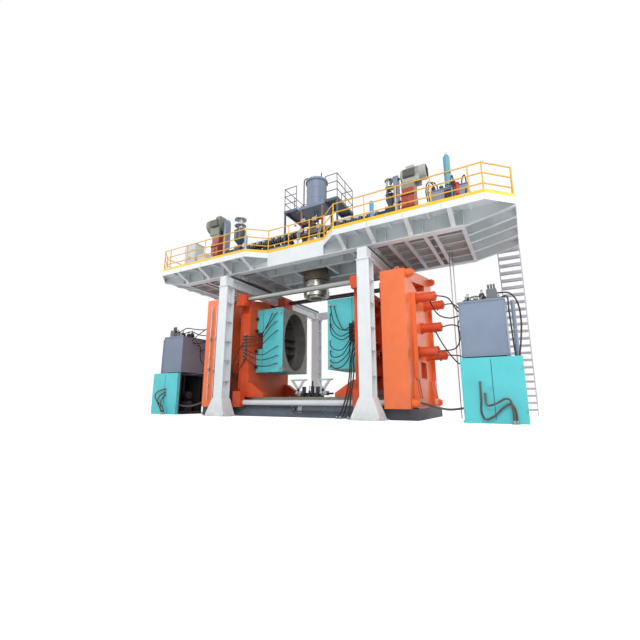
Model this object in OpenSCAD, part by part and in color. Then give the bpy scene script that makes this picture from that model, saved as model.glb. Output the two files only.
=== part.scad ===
// Large accumulator-head blow moulding machine with an overhead extruder deck.
// Millimetres. Origin on the floor under the die head's axis; +X is the clamping
// direction to the right, +Y goes to the back, +Z up. Left and right are mirror images
// unless a size below says otherwise.

/* [Machine bed] */
// Height of the bed's top face above the floor
bed_h = 470; // [400:10:520]
// Half the bed's length, to the blocks under the end plates
bed_half_l = 3700; // [3600:10:3800]
// Half the bed's depth, front to back
bed_half_d = 1750; // [1700:10:1755]
// Half the width of the solid block in the middle of the bed
centre_block_w = 600; // [400:10:700]
// Wall of the bed's long side beams
bed_beam = 500; // [450:10:560]
// Height of the dark blocks under the end plates
base_h = 400; // [350:10:440]

/* [Guide rails] */
// Centre of each guide rail from the machine's middle plane
rail_y = 1450; // [1430:5:1470]
// Width of a guide rail
rail_w = 250; // [200:10:280]
// Thickness of a guide rail
rail_t = 120; // [80:5:140]
// Height of the beam that carries a guide rail
rail_beam_h = 240; // [200:10:280]
// Half the length of a guide rail
rail_half_l = 3900; // [3800:10:4000]

/* [Tie bars] */
// Diameter of a tie bar
tie_d = 230; // [180:5:240]
// Distance of the tie bars from the middle plane, front and back
tie_y = 1850; // [1840:5:1860]
// Height of the upper tie bar at the front
tie_front_z = 5450; // [5400:10:5480]
// Height of the upper tie bar at the back
tie_back_z = 6090; // [6050:10:6120]
// Height of the two lower tie bars
tie_low_z = 600; // [590:5:610]
// Diameter of a tie bar nut
nut_d = 330; // [290:5:360]
// Length of a tie bar nut
nut_l = 190; // [150:5:220]

/* [End plates] */
// Inner face of an end plate
end_in = 4060; // [4000:10:4100]
// Thickness of an end plate
end_t = 950; // [800:10:1000]
// Front edge of an end plate
end_front = 2210; // [2150:10:2240]
// Back edge of an end plate
end_back = 2250; // [2150:10:2300]
// Top of an end plate at its front edge
end_top_front = 5560; // [5530:10:5620]
// Top of an end plate near its back edge
end_top_back = 6340; // [6300:10:6400]
// Depth of the windows in an end plate's outer face
window_depth = 500; // [200:10:700]

/* [Clamp cylinders] */
// Outer diameter of a clamp cylinder's barrel
barrel_d = 380; // [360:5:420]
// Bore of a clamp cylinder
bore_d = 300; // [260:5:320]
// Diameter of a piston rod
rod_d = 200; // [160:5:220]
// Length of a barrel beyond the end plate's outer face
barrel_out = 790; // [700:10:900]
// Distance of the four outer cylinders from the middle plane
cyl_y = 770; // [700:10:850]
// Height of the upper pair of cylinders
cyl_up_z = 4700; // [4600:10:4800]
// Height of the middle cylinder
cyl_mid_z = 3600; // [3500:10:3700]
// Height of the lower pair of cylinders
cyl_low_z = 2530; // [2450:10:2600]
// Distance that each mould half travels to close
clamp_travel = 1190; // [1100:10:1190]

/* [Platens and moulds] */
// Face of a platen that carries the mould
platen_face = 2720; // [2700:10:2760]
// Thickness of a platen's plate
platen_t = 450; // [400:10:500]
// Depth of the ribs behind a platen
platen_rib = 280; // [200:10:300]
// Half the platen's depth, front to back
platen_half_d = 1650; // [1630:5:1660]
// Underside of the platen's plate
platen_z0 = 850; // [845:5:900]
// Top of the platen's plate
platen_z1 = 5200; // [5100:10:5260]
// Parting face of an open mould half
mould_face = 1190; // [1190:10:1250]
// Half the mould's width, front to back
mould_half_w = 1090; // [1050:10:1150]
// Underside of the mould
mould_z0 = 1990; // [1900:10:2030]
// Top of the mould
mould_z1 = 5050; // [4990:10:5100]
// Height of the cavity's centre
cavity_z = 3490; // [3460:10:3520]
// Half the cavity's height
cavity_a = 1410; // [1300:10:1450]
// Half the cavity's width
cavity_b = 950; // [850:10:990]
// Depth of the cavity in one mould half
cavity_depth = 900; // [700:10:1000]

/* [Synchroniser] */
// Pitch radius of the pinion
pinion_r = 60; // [58:1:62]
// Number of pinion teeth
pinion_teeth = 20; // [18:2:22]
// Width of the pinion and of both racks
rack_w = 60; // [40:2:64]
// Height of the pinion's axis
pinion_z = 330; // [325:1:335]

/* [Columns and beams] */
// Centre of the columns from the machine's centre
column_x = 3560; // [3540:10:3600]
// Width of a column
column_w = 500; // [400:10:540]
// Front face of the front columns
column_front = 2700; // [2690:10:2740]
// Front face of the back columns
column_back = 6000; // [5900:10:6100]
// Thickness of the column flanges
column_flange = 40; // [25:1:50]
// Underside of the cross beams
beam_z0 = 6030; // [6000:10:6060]
// Height of the cross beams
beam_h = 440; // [400:10:460]
// Width of the cross beams
beam_w = 400; // [360:10:440]
// Height of the rails on the cross beams
deck_rail_h = 160; // [120:10:180]
// Height of the wheel blocks between the rails and the deck frame
wheel_h = 190; // [150:10:200]

/* [Deck] */
// Height of the deck frame, from the wheel blocks to the floor plate
frame_h = 650; // [600:10:700]
// Thickness of the floor plate
plate_t = 30; // [10:1:40]
// Half the deck's length
deck_half_l = 8900; // [8800:10:9000]
// Front edge of the deck in the middle
front_mid = 2050; // [2000:10:2100]
// Front edge of the two bays that stand out
front_bay = 2750; // [2700:10:2850]
// Front edge of the deck at its two ends
front_end = 1900; // [1800:10:1950]
// Back edge of the deck
deck_back = 2100; // [2050:10:2150]
// Inner corner of a bay at the middle edge
bay_in = 1500; // [1450:10:1600]
// Inner corner of a bay at its own edge
bay_mid = 2300; // [2200:10:2400]
// Outer corner of a bay
bay_out = 8010; // [7900:10:8100]
// Height of the white band below the deck's edge
fascia_h = 250; // [200:10:300]
// Height of the yellow toe board
toe_h = 130; // [80:5:150]
// Half the width of the square opening for the die head
head_hole = 720; // [700:10:760]

/* [Handrails] */
// Height of the top rail above the floor plate
rail_top = 1180; // [1000:10:1200]
// Diameter of the handrail's tube
tube_d = 48; // [34:1:60]

/* [Die head] */
// Diameter of the rings below the deck
ring_d = 1230; // [1150:10:1260]
// Underside of the lowest ring
ring_z0 = 5630; // [5600:10:5660]
// Diameter of the mandrel at the die gap
mandrel_d = 560; // [500:5:580]
// Width of the open die gap
die_gap = 30; // [15:1:40]
// Bore of the head
head_bore = 760; // [700:10:780]
// Top of the head
head_top = 9350; // [9300:10:9400]
// Height of the square flange round the head
flange_z = 8700; // [8600:10:8720]
// Diameter of the ram rod
ram_d = 240; // [200:5:260]
// Underside of the top plate
top_plate_z = 10200; // [10150:10:10250]
// Thickness of the top plate
top_plate_t = 150; // [100:10:160]
// Diameter of the injection cylinder
inj_d = 1050; // [1000:10:1080]
// Height of the injection cylinder
inj_h = 1600; // [1500:10:1650]

/* [Extruders] */
// Height of the screws
screw_z = 9150; // [9120:5:9160]
// Diameter of an extruder barrel
ext_d = 300; // [280:5:320]
// Diameter of the left screw
screw_l_d = 160; // [140:5:170]
// Diameter of the right screw
screw_r_d = 140; // [120:5:150]
// Middle of the left belt guard
guard_l_x = 6180; // [6100:10:6220]
// Middle of the right belt guard
guard_r_x = 4250; // [4250:10:4290]
// Middle of the left feed throat
feed_l_x = 5150; // [5050:10:5250]
// Middle of the right feed throat
feed_r_x = 3930; // [3880:10:3930]
// Height of the left motor
motor_l_z = 11080; // [11040:10:11100]
// Height of the right motor
motor_r_z = 10700; // [10650:10:10750]
// Diameter of the left motor
motor_l_d = 850; // [800:10:900]
// Diameter of the right motor
motor_r_d = 640; // [600:10:680]

/* [Power units] */
// Inner side of a power unit
unit_x = 6790; // [6700:10:6850]
// Width of a power unit's tank
tank_w = 1430; // [1350:10:1480]
// Front of a power unit's tank
tank_front = 2070; // [2000:10:2100]
// Depth of a power unit's tank
tank_d = 1550; // [1400:10:1600]
// Underside of a power unit's tank
tank_z0 = 2110; // [2060:10:2150]
// Top of a power unit's tank
tank_z1 = 3940; // [3850:10:4000]
// Height of the cabinet below the tank
cabinet_h = 2050; // [2000:10:2050]

/* [Access ladder] */
// Middle of the ladder
ladder_x = 8470; // [8430:10:8500]
// Width of the ladder over its stringers
ladder_w = 900; // [800:10:900]
// Distance of the ladder's foot behind the deck's edge
ladder_run = 2550; // [2400:10:2700]
// Number of treads
tread_n = 24; // [20:1:26]

/* [Fits] */
// Gap of a sliding shoe above its rail
shoe_gap = 0.3; // [0.2:0.1:0.5]
// Difference of diameter in a running fit
run_fit = 0.1; // [0.04:0.02:0.2]
// Gap between pieces that pass each other
pass_gap = 10; // [5:1:15]

/* [Hidden] */
$fn = 48;
orange = "#e9602f";
turquoise = "#4ec3ba";
white_paint = "#e9edef";
frame_grey = "#c3ccd0";
dark_grey = "#4d525a";
blue_grey = "#747b8c";
yellow = "#f4bd1c";
steel = "#c4c4c2";
dark_steel = "#55524e";

rail_z0 = bed_h + rail_beam_h;
rail_z1 = rail_z0 + rail_t;
end_out = end_in + end_t;
barrel_in = end_in - 30;
barrel_end = end_out + barrel_out;
platen_back = platen_face + platen_t;
rib_back = platen_back + platen_rib;
rack_y = bed_half_d + 100;
rail_bed_z = beam_z0 + beam_h;
frame_z0 = rail_bed_z + deck_rail_h + wheel_h;
plate_z0 = frame_z0 + frame_h;
deck_z = plate_z0 + plate_t;
fascia_t = 20;
fascia_z0 = deck_z - fascia_h;
cylinder_places = [[-cyl_y, cyl_up_z], [cyl_y, cyl_up_z], [0, cyl_mid_z],
                   [-cyl_y, cyl_low_z], [cyl_y, cyl_low_z]];
tie_places = [[-tie_y, tie_front_z], [tie_y, tie_back_z], [-tie_y, tie_low_z], [tie_y, tie_low_z]];
post_step = 1285;

// Box between two corners
module box(x0, x1, y0, y1, z0, z1) {
    translate([x0, y0, z0]) cube([x1 - x0, y1 - y0, z1 - z0]);
}

// Round bar along X, Y or Z
module bar_x(x0, x1, y, z, d) {
    translate([x0, y, z]) rotate([0, 90, 0]) cylinder(d = d, h = x1 - x0);
}
module bar_y(y0, y1, x, z, d) {
    translate([x, y1, z]) rotate([90, 0, 0]) cylinder(d = d, h = y1 - y0);
}
module bar_z(z0, z1, x, y, d) {
    translate([x, y, z0]) cylinder(d = d, h = z1 - z0);
}

// Outline in the YZ plane, extruded along X
module along_x(x0, x1, points) {
    translate([x0, 0, 0]) rotate([90, 0, 90]) linear_extrude(x1 - x0) polygon(points);
}

// Outline in the XZ plane, extruded along Y
module along_y(y0, y1, points) {
    translate([0, y1, 0]) rotate([90, 0, 0]) linear_extrude(y1 - y0) polygon(points);
}

// Right-hand piece as drawn, left-hand piece as its mirror image
module on_side(side) {
    if (side < 0) mirror([1, 0, 0]) children();
    else children();
}
module both_sides() {
    for (side = [-1, 1]) on_side(side) children();
}

// I-section beam along X or along Y
module i_beam_x(x0, x1, y, z0, z1, w = 300, t = 30) {
    box(x0, x1, y - w / 2, y + w / 2, z0, z0 + t);
    box(x0, x1, y - w / 2, y + w / 2, z1 - t, z1);
    box(x0, x1, y - t / 2, y + t / 2, z0 + t, z1 - t);
}
module i_beam_y(y0, y1, x, z0, z1, w = 200, t = 24) {
    box(x - w / 2, x + w / 2, y0, y1, z0, z0 + t);
    box(x - w / 2, x + w / 2, y0, y1, z1 - t, z1);
    box(x - t / 2, x + t / 2, y0, y1, z0 + t, z1 - t);
}

// Bed: two long beams, cross beams and the solid block in the middle
module machine_bed() {
    cross_w = 300;
    cross_x = [1700, 2600, bed_half_l - cross_w / 2];
    color(blue_grey) {
        difference() {
            union() {
                for (s = [-1, 1])
                    box(-bed_half_l, bed_half_l, s < 0 ? -bed_half_d : bed_half_d - bed_beam,
                        s < 0 ? bed_beam - bed_half_d : bed_half_d, 0, bed_h);
                both_sides() for (x = cross_x)
                    box(x - cross_w / 2, x + cross_w / 2, bed_beam - bed_half_d, bed_half_d - bed_beam,
                        0, bed_h);
                box(-centre_block_w, centre_block_w, bed_beam - bed_half_d, bed_half_d - bed_beam,
                    0, bed_h);
                // Bearing block and shaft of the pinion
                box(-110, 110, -rack_y + rack_w / 2 + 5, -bed_half_d, 200, bed_h - 10);
                bar_y(-rack_y - rack_w / 2 - 20, -bed_half_d, 0, pinion_z, 40);
                bar_y(-rack_y - rack_w / 2 - 20, -rack_y - rack_w / 2 - 2, 0, pinion_z, 70);
            }
            // Grooves where the bed's castings meet
            both_sides() for (x = [bed_half_l / 2, 2520])
                box(x - 4, x + 4, -bed_half_d - 1, -bed_half_d + 12, -1, bed_h + 1);
        }
    }
}

module plate_bases() {
    color(dark_grey) both_sides()
        box(bed_half_l, end_out + 190, -end_front + 260, end_back - 150, 0, base_h);
}

module guide_rails() {
    color(steel) for (s = [-1, 1]) {
        box(-rail_half_l, rail_half_l, s * rail_y - rail_w / 2, s * rail_y + rail_w / 2, rail_z0, rail_z1);
        box(-bed_half_l, bed_half_l, s * rail_y - rail_w / 2 + 40, s * rail_y + rail_w / 2 - 40,
            bed_h, rail_z0);
    }
}

// Four tie bars with their nuts
module tie_bars() {
    color(steel) for (p = tie_places) {
        bar_x(-end_out - nut_l - 80, end_out + nut_l + 80, p[0], p[1], tie_d);
        for (side = [-1, 1])
            bar_x(side < 0 ? -end_out - nut_l : end_out, side < 0 ? -end_out : end_out + nut_l,
                p[0], p[1], nut_d);
    }
}

// Outline of an end plate seen from the side
end_outline = [[-end_front, base_h], [end_back, base_h], [end_back, end_top_back - 300],
               [end_back - 300, end_top_back], [-end_front, end_top_front]];

module end_plate(side) {
    fin_y = 1400;
    color(orange) on_side(side) {
        difference() {
            union() {
                along_x(end_in, end_out, end_outline);
                // Fins and ribbed feet on the outer face
                for (s = [-1, 1]) {
                    box(end_out, end_out + 160, s * fin_y - 25, s * fin_y + 25, 1500, cyl_up_z + 100);
                    for (rib = [-300, 0, 300])
                        along_y(s * 1300 + rib - 30, s * 1300 + rib + 30,
                            [[end_out, 760], [end_out + 170, 760], [end_out + 60, 1500], [end_out, 1500]]);
                    box(end_out, end_out + 170, s * 1300 - 400, s * 1300 + 400, base_h, 760);
                }
            }
            for (p = cylinder_places) bar_x(end_in - 1, end_out + 1, p[0], p[1], barrel_d + run_fit);
            for (p = tie_places) bar_x(end_in - 1, end_out + 200, p[0], p[1], tie_d + run_fit);
            // Room for the lower nuts in the feet
            for (s = [-1, 1]) bar_x(end_out, end_out + 300, s * tie_y, tie_low_z, nut_d + 2 * pass_gap);
            // Triangular window and the low door in the outer face
            along_x(end_out - window_depth, end_out + 1,
                [[-1250, 5290], [850, 5690], [750, 5390], [-420, 5060]]);
            box(end_out - window_depth, end_out + 1, -420, 420, 1540, 2200);
            // Hollow in the inner face below the cylinders
            box(end_in - 1, end_in + 350, -1500, 1500, 900, 2000);
        }
        // Two riser pipes with clamps on the front of the left plate
        if (side < 0) for (x = [4300, 4640]) {
            bar_z(700, 5200, x, -end_front - 60, 50);
            for (z = [1400, 2700, 4000])
                box(x - 40, x + 40, -end_front - 95, -end_front, z - 30, z + 30);
        }
        // Lifting lug on the top edge
        difference() {
            along_y(-1560, -1500, [[end_in + 330, end_top_front + 60], [end_in + 630, end_top_front + 60],
                [end_in + 560, end_top_front + 330], [end_in + 400, end_top_front + 330]]);
            bar_y(-1561, -1499, end_in + 480, end_top_front + 240, 90);
        }
    }
}

module clamp_cylinders(side) {
    head_t = 100;
    color(orange) on_side(side) for (p = cylinder_places) difference() {
        union() {
            bar_x(barrel_in, barrel_end, p[0], p[1], barrel_d);
            bar_x(end_out, end_out + 60, p[0], p[1], barrel_d + 90);
            bar_x(barrel_end - 90, barrel_end - 30, p[0], p[1], barrel_d + 16);
        }
        bar_x(barrel_in + head_t, barrel_end - 60, p[0], p[1], bore_d);
        bar_x(barrel_in - 1, barrel_in + head_t + 1, p[0], p[1], rod_d + run_fit);
    }
}

module piston_rods(side) {
    head_l = 100;
    color(steel) on_side(side) for (p = cylinder_places) {
        bar_x(rib_back, barrel_end - 200, p[0], p[1], rod_d);
        bar_x(barrel_end - 200 - head_l, barrel_end - 200, p[0], p[1], bore_d - run_fit);
    }
}

// Outline of a platen's foot, with its shoe on the guide rail
foot_outline = [[platen_face - 920, rail_z1 + shoe_gap], [platen_back, rail_z1 + shoe_gap],
                [platen_back, 1500], [platen_face - 80, 1500], [platen_face - 160, 1470],
                [platen_face - 860, 1030], [platen_face - 920, 1000]];

module platen(side) {
    ear = 235;
    ear_x0 = platen_face + 60;
    ear_x1 = platen_back + 60;
    boss_d = 320;
    color(orange) on_side(side) difference() {
        union() {
            box(platen_face, platen_back, -platen_half_d, platen_half_d, platen_z0, platen_z1);
            for (y = [-1450, -380, 380, 1450])
                box(platen_back, rib_back, y - 40, y + 40, 1200, platen_z1 - 200);
            for (z = [1700, 3000, 4150])
                box(platen_back, rib_back - 60, -1450, 1450, z - 40, z + 40);
            for (p = cylinder_places) bar_x(platen_back, rib_back, p[0], p[1], boss_d);
            for (s = [-1, 1])
                along_y(s < 0 ? -platen_half_d : platen_half_d - 300,
                    s < 0 ? 300 - platen_half_d : platen_half_d, foot_outline);
            // Ears that ride on the upper and lower tie bars
            box(ear_x0, ear_x1, -tie_y - ear, -platen_half_d + 350, tie_front_z - 330, tie_front_z + 210);
            box(ear_x0, ear_x1, platen_half_d - 350, tie_y + ear, platen_z1 - 400, tie_back_z + 210);
            for (s = [-1, 1]) {
                box(ear_x0, ear_x1, s < 0 ? -tie_y - ear : bed_half_d + pass_gap,
                    s < 0 ? -bed_half_d - pass_gap : tie_y + ear, base_h, 1100);
                box(ear_x0, ear_x1, s < 0 ? -bed_half_d - pass_gap : platen_half_d,
                    s < 0 ? -platen_half_d : bed_half_d + pass_gap, platen_z0, 1100);
            }
        }
        for (p = tie_places) bar_x(ear_x0 - 1, ear_x1 + 1, p[0], p[1], tie_d + run_fit);
    }
}

// Points of an upright oval in the YZ plane
function oval(b, a, n = 40) = [for (i = [0 : n - 1]) [b * cos(i * 360 / n), cavity_z + a * sin(i * 360 / n)]];

module mould_half(side) {
    pocket = 360;
    step = 110;
    color(turquoise) on_side(side) difference() {
        box(mould_face, platen_face, -mould_half_w, mould_half_w, mould_z0, mould_z1);
        box(platen_face - pocket, platen_face + 1, -mould_half_w - 1, mould_half_w + 1, 3120, 3900);
        along_x(mould_face - 1, mould_face + cavity_depth * 0.6, oval(cavity_b, cavity_a));
        along_x(mould_face, mould_face + cavity_depth, oval(cavity_b - step, cavity_a - step));
    }
}

// Square header pipe on the front of the left platen
module cooling_manifold_left() {
    header_w = 110;
    gap = 10;
    x = -platen_face - 200;
    y1 = -platen_half_d - gap;
    y0 = y1 - header_w;
    color(steel) {
        box(x - header_w / 2, x + header_w / 2, y0, y1, 2600, 3730);
        for (z = [2680, 3690])
            box(x - 40, x + 40, y1, -platen_half_d, z - 20, z + 20);
        // Nozzles of the hoses
        for (z = [2750 : 150 : 3650]) bar_y(y0 - 20, y0, x, z, 50);
        bar_x(x - 80, x - header_w / 2, (y0 + y1) / 2, 3320, 64);
    }
}

module cooling_manifold_right() {
    color(dark_grey) {
        box(platen_face - 280, platen_face, -mould_half_w - 150, -mould_half_w - pass_gap, 3150, 3870);
    }
}

// Straight teeth of the racks and the pinion
tooth_pitch = PI * 2 * pinion_r / pinion_teeth;
addendum = 5;
dedendum = 7;
tooth_root = 9;
tooth_tip = 4;
rack_h = 38;

// Toothed bar above (up = 1) or below (up = -1) the pinion; the teeth run over the travel
module rack_bar(x0, x1, up) {
    z = pinion_z + up * (pinion_r + dedendum);
    count = ceil((clamp_travel + 80) / tooth_pitch);
    translate([0, -rack_y + rack_w / 2, 0]) {
        box(x0, x1, -rack_w, 0, min(z, z + up * rack_h), max(z, z + up * rack_h));
        rotate([90, 0, 0]) linear_extrude(rack_w) for (i = [-4 : count]) {
            x = -up * (i + 0.5) * tooth_pitch;
            polygon([[x - tooth_root / 2, z + up], [x + tooth_root / 2, z + up],
                [x + tooth_tip / 2, z - up * (addendum + dedendum)],
                [x - tooth_tip / 2, z - up * (addendum + dedendum)]]);
        }
    }
}

module sync_rack_left() {
    z = pinion_z + pinion_r + dedendum;
    color(dark_steel) {
        rack_bar(-platen_face - 60, 120, 1);
        box(-platen_back + 20, -platen_face + 40, -rack_y - rack_w / 2, -rack_y + rack_w / 2,
            z - rack_h, base_h);
    }
}

module sync_rack_right() {
    color(dark_steel) {
        rack_bar(-120, platen_back - 60, -1);
        box(platen_back - 160, platen_back - 60, -rack_y - rack_w / 2, -rack_y + rack_w / 2,
            pinion_z - pinion_r - dedendum - rack_h, base_h);
    }
}

module sync_pinion() {
    root_r = pinion_r - dedendum;
    tip_r = pinion_r + addendum;
    color(dark_steel) translate([0, -rack_y + rack_w / 2, pinion_z]) rotate([90, 0, 0]) difference() {
        union() {
            cylinder(r = root_r, h = rack_w);
            for (i = [0 : pinion_teeth - 1]) rotate(90 + i * 360 / pinion_teeth)
                linear_extrude(rack_w) polygon([[root_r - 2, -tooth_root / 2], [root_r - 2, tooth_root / 2],
                    [tip_r, tooth_tip / 2], [tip_r, -tooth_tip / 2]]);
        }
        translate([0, 0, -1]) cylinder(d = 40 + run_fit, h = rack_w + 2);
    }
}

// One column: flanges front and back, web, shelves, cap and flared foot
module column(y) {
    half = column_w / 2;
    foot_half = 600;
    foot_h = 800;
    translate([column_x, y, 0]) {
        box(-half, half, 0, column_flange, foot_h, beam_z0 - 30);
        box(-half, half, column_w - column_flange, column_w, foot_h, beam_z0 - 30);
        box(-20, 20, column_flange, column_w - column_flange, foot_h, beam_z0 - 30);
        for (z = [1570, 2500, 3380, 4300, 5220])
            box(-half, half, column_flange, column_w - column_flange, z - 15, z + 15);
        box(-half - 50, half + 50, -50, column_w + 50, beam_z0 - 30, beam_z0);
        // Foot plate; at the front it reaches the block under the end plate
        box(-foot_half, foot_half, -180, column_front - end_front + 260, 0, 40);
        intersection() {
            along_y(-180, column_w + 70, [[-foot_half + 30, 40], [foot_half - 30, 40], [half + 20, foot_h],
                [-half - 20, foot_h]]);
            along_x(-foot_half, foot_half, [[-150, 40], [column_w + 50, 40], [column_w + 20, foot_h],
                [-20, foot_h]]);
        }
    }
}

module columns() {
    color(white_paint) both_sides() {
        column(-column_front);
        column(column_back);
    }
}

module cross_beams() {
    y0 = -column_front - 50;
    y1 = column_back + column_w - 50;
    color(white_paint) {
        both_sides() difference() {
            box(column_x - beam_w / 2, column_x + beam_w / 2, y0, y1, beam_z0, rail_bed_z);
            // Arch over the upper tie bar at the back
            bar_x(column_x - beam_w / 2 - 1, column_x + beam_w / 2 + 1, tie_y, tie_back_z, tie_d + 4 * pass_gap);
            for (s = [0, 1])
                box(s > 0 ? column_x + 20 : column_x - beam_w / 2 - 1,
                    s > 0 ? column_x + beam_w / 2 + 1 : column_x - 20,
                    y0 + 500, y1 - 500, beam_z0 + 30, rail_bed_z - 30);
        }
        box(-column_x + beam_w / 2, column_x - beam_w / 2, column_back + 100, column_back + 400,
            beam_z0, rail_bed_z);
    }
}

// Two rails on each cross beam
module deck_rails() {
    color(dark_grey) both_sides() {
        for (x = [column_x - 110, column_x + 110])
            box(x - 30, x + 30, -2300, column_back + 300, rail_bed_z, frame_z0 - wheel_h);
    }
}

// Corners of the deck's outline, anticlockwise from the front left
deck_outline = [[-deck_half_l, -front_end], [-bay_out, -front_bay], [-bay_mid, -front_bay],
    [-bay_in, -front_mid], [bay_in, -front_mid], [bay_mid, -front_bay], [bay_out, -front_bay],
    [deck_half_l, -front_end], [deck_half_l, deck_back], [-deck_half_l, deck_back]];

function unit(v) = v / norm(v);
function normal_in(p, q) = let (u = unit(q - p)) [-u[1], u[0]];
// The outline moved inward by d
function inset(points, d) = let (n = len(points)) [for (i = [0 : n - 1])
    let (a = normal_in(points[(i + n - 1) % n], points[i]), b = normal_in(points[i], points[(i + 1) % n]))
    points[i] + d * (a + b) / (1 + a * b)];

module edge_band(t, z0, z1) {
    translate([0, 0, z0]) linear_extrude(z1 - z0) difference() {
        polygon(deck_outline);
        polygon(inset(deck_outline, t));
    }
}

// Floor plate with the white band that hangs from its edge
module deck_plate() {
    color(white_paint) {
        translate([0, 0, plate_z0]) linear_extrude(plate_t) difference() {
            polygon(deck_outline);
            square(2 * head_hole, center = true);
        }
        edge_band(fascia_t, fascia_z0, plate_z0);
        box(-bay_in, bay_in, -front_mid, -front_mid + fascia_t, frame_z0, fascia_z0);
    }
}

module toe_board() {
    color(yellow) edge_band(12, deck_z, deck_z + toe_h);
}

// Beams, stringers, cantilevers and ribs below the floor plate
module deck_frame() {
    main_x = 7200;
    main_w = 300;
    front_y = -front_mid + fascia_t + main_w / 2;
    back_y = deck_back - fascia_t - main_w / 2;
    stringer_z = plate_z0 - 400;
    head_beam_y = 800;
    color(white_paint) both_sides() for (y = [-1450, 1450]) {
        box(column_x - 190, column_x + 190, y - 230, y + 230, frame_z0 - wheel_h, frame_z0);
        box(column_x - 230, column_x + 230, y - 60, y + 60, frame_z0 - wheel_h + 60, frame_z0 - 20);
    }
    color(frame_grey) intersection() {
        translate([0, 0, frame_z0 - 1]) linear_extrude(frame_h + 1) polygon(inset(deck_outline, fascia_t));
        union() {
            for (y = [front_y, back_y]) {
                i_beam_x(-main_x, main_x, y, frame_z0, plate_z0, main_w);
                both_sides() for (x = [1100, 2400, 4300, 5750, main_x])
                    box(x - 12, x + 12, y - main_w / 2, y + main_w / 2, frame_z0 + 30, plate_z0 - 30);
            }
            // Tapered ends of the long beams and stringers
            both_sides() for (y = [front_y, -1000, -200, 800, back_y]) {
                along_y(y - 12, y + 12, [[main_x, frame_z0], [deck_half_l, frame_z0 + 370],
                    [deck_half_l, plate_z0], [main_x, plate_z0]]);
                along_y(y - 75, y + 75, [[main_x, frame_z0], [deck_half_l, frame_z0 + 370],
                    [deck_half_l, frame_z0 + 390], [main_x, frame_z0 + 20]]);
            }
            both_sides() {
                for (x = [4300, 5000, 5750, 6100, 7150])
                    i_beam_y(front_y + main_w / 2, back_y - main_w / 2, x, frame_z0, plate_z0, 150);
                for (y = [-1300, -500, 300, 1100])
                    box(2600, main_x, y - 12, y + 12, stringer_z, plate_z0);
                i_beam_y(front_y + main_w / 2, back_y - main_w / 2, 2600, frame_z0 + 60, plate_z0, 150);
                // Tapered brackets below the bay, and small ribs between them
                for (x = [2500, 3800, 5300, 6850])
                    along_x(x - 12, x + 12, [[-front_bay, fascia_z0 + 20], [-front_mid + fascia_t, frame_z0 + 120],
                        [-front_mid + fascia_t, plate_z0], [-front_bay, plate_z0]]);
                for (x = [3150, 4550, 6050, 7500])
                    box(x - 10, x + 10, -front_bay, -front_mid + 20, plate_z0 - 120, plate_z0);
            }
            // Bearing beams over the rails, on the wheel blocks
            both_sides() i_beam_y(front_y + main_w / 2, back_y - main_w / 2, column_x, frame_z0, plate_z0,
                300);
            // Support beams of the die head with bevelled ends
            for (y = [-head_beam_y, head_beam_y]) {
                along_y(y - 15, y + 15, [[-2600, plate_z0 - 300], [-2350, frame_z0], [2350, frame_z0],
                    [2600, plate_z0 - 300], [2600, plate_z0], [-2600, plate_z0]]);
                box(-2350, 2350, y - 110, y + 110, frame_z0, frame_z0 + 25);
                for (x = [-1900, -700, 700, 1900])
                    box(x - 12, x + 12, y - 110, y + 110, frame_z0, plate_z0);
            }
            for (x = [-900, 900])
                i_beam_y(-head_beam_y, head_beam_y, x, frame_z0 + 60, plate_z0, 150);
        }
    }
}

// Round tube from one point to another
module tube(p, q, d) {
    v = q - p;
    translate(p) rotate([0, acos(v[2] / norm(v)), atan2(v[1], v[0])]) cylinder(d = d, h = norm(v));
}

// A run of handrail: posts at the given points, three rails between them
module handrail(posts, z, h, d) {
    n = len(posts);
    for (p = posts) bar_z(z, z + h, p[0], p[1], d, $fn = 8);
    for (i = [0 : n - 2], k = [1, 2, 3])
        tube([posts[i][0], posts[i][1], z + h * k / 3 - d / 2],
             [posts[i + 1][0], posts[i + 1][1], z + h * k / 3 - d / 2], d, $fn = 8);
}

module deck_handrail() {
    inset_d = 12 + tube_d / 2 + 10;
    path = inset(deck_outline, inset_d);
    side_y = path[8][1];
    right = concat([[750, path[4][1]], path[4], path[5]],
        [for (k = [1 : 4]) [bay_mid + 100 + k * post_step, path[5][1]]], [path[6], path[7],
        [path[7][0], 0], path[8]]);
    left = concat([[-350, path[4][1]], path[3], path[2]],
        [for (k = [1 : 4]) [-bay_mid - 100 - k * post_step, path[5][1]]], [path[1], path[0],
        [path[0][0], 0], path[9]]);
    back = [for (k = [0 : 7]) [path[9][0] + k * (ladder_x - ladder_w / 2 - 100 - path[9][0]) / 7, side_y]];
    color(yellow) {
        handrail(right, deck_z, rail_top, tube_d);
        handrail(left, deck_z, rail_top, tube_d);
        handrail([[-350, path[4][1]], [750, path[4][1]]], deck_z, rail_top, tube_d);
        handrail(back, deck_z, rail_top, tube_d);
    }
}

module access_ladder() {
    y0 = deck_back;
    y1 = deck_back + ladder_run;
    run = ladder_run / deck_z;
    color(frame_grey) {
        for (s = [-1, 1])
            along_x(ladder_x + s * (ladder_w / 2 - 20) - 20, ladder_x + s * (ladder_w / 2 - 20) + 20,
                [[y0, deck_z], [y0, deck_z - 400], [y1 - 160, 0], [y1, 0], [y0 + 60, deck_z]]);
        for (i = [1 : tread_n - 1]) {
            z = i * deck_z / tread_n;
            y = y1 - 80 - z * run;
            box(ladder_x - ladder_w / 2 + 40, ladder_x + ladder_w / 2 - 40, y - 90, y + 90, z - 35, z);
        }
    }
}

// Distance of the head's inlet flanges from its axis
inlet_x = 440;

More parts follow.
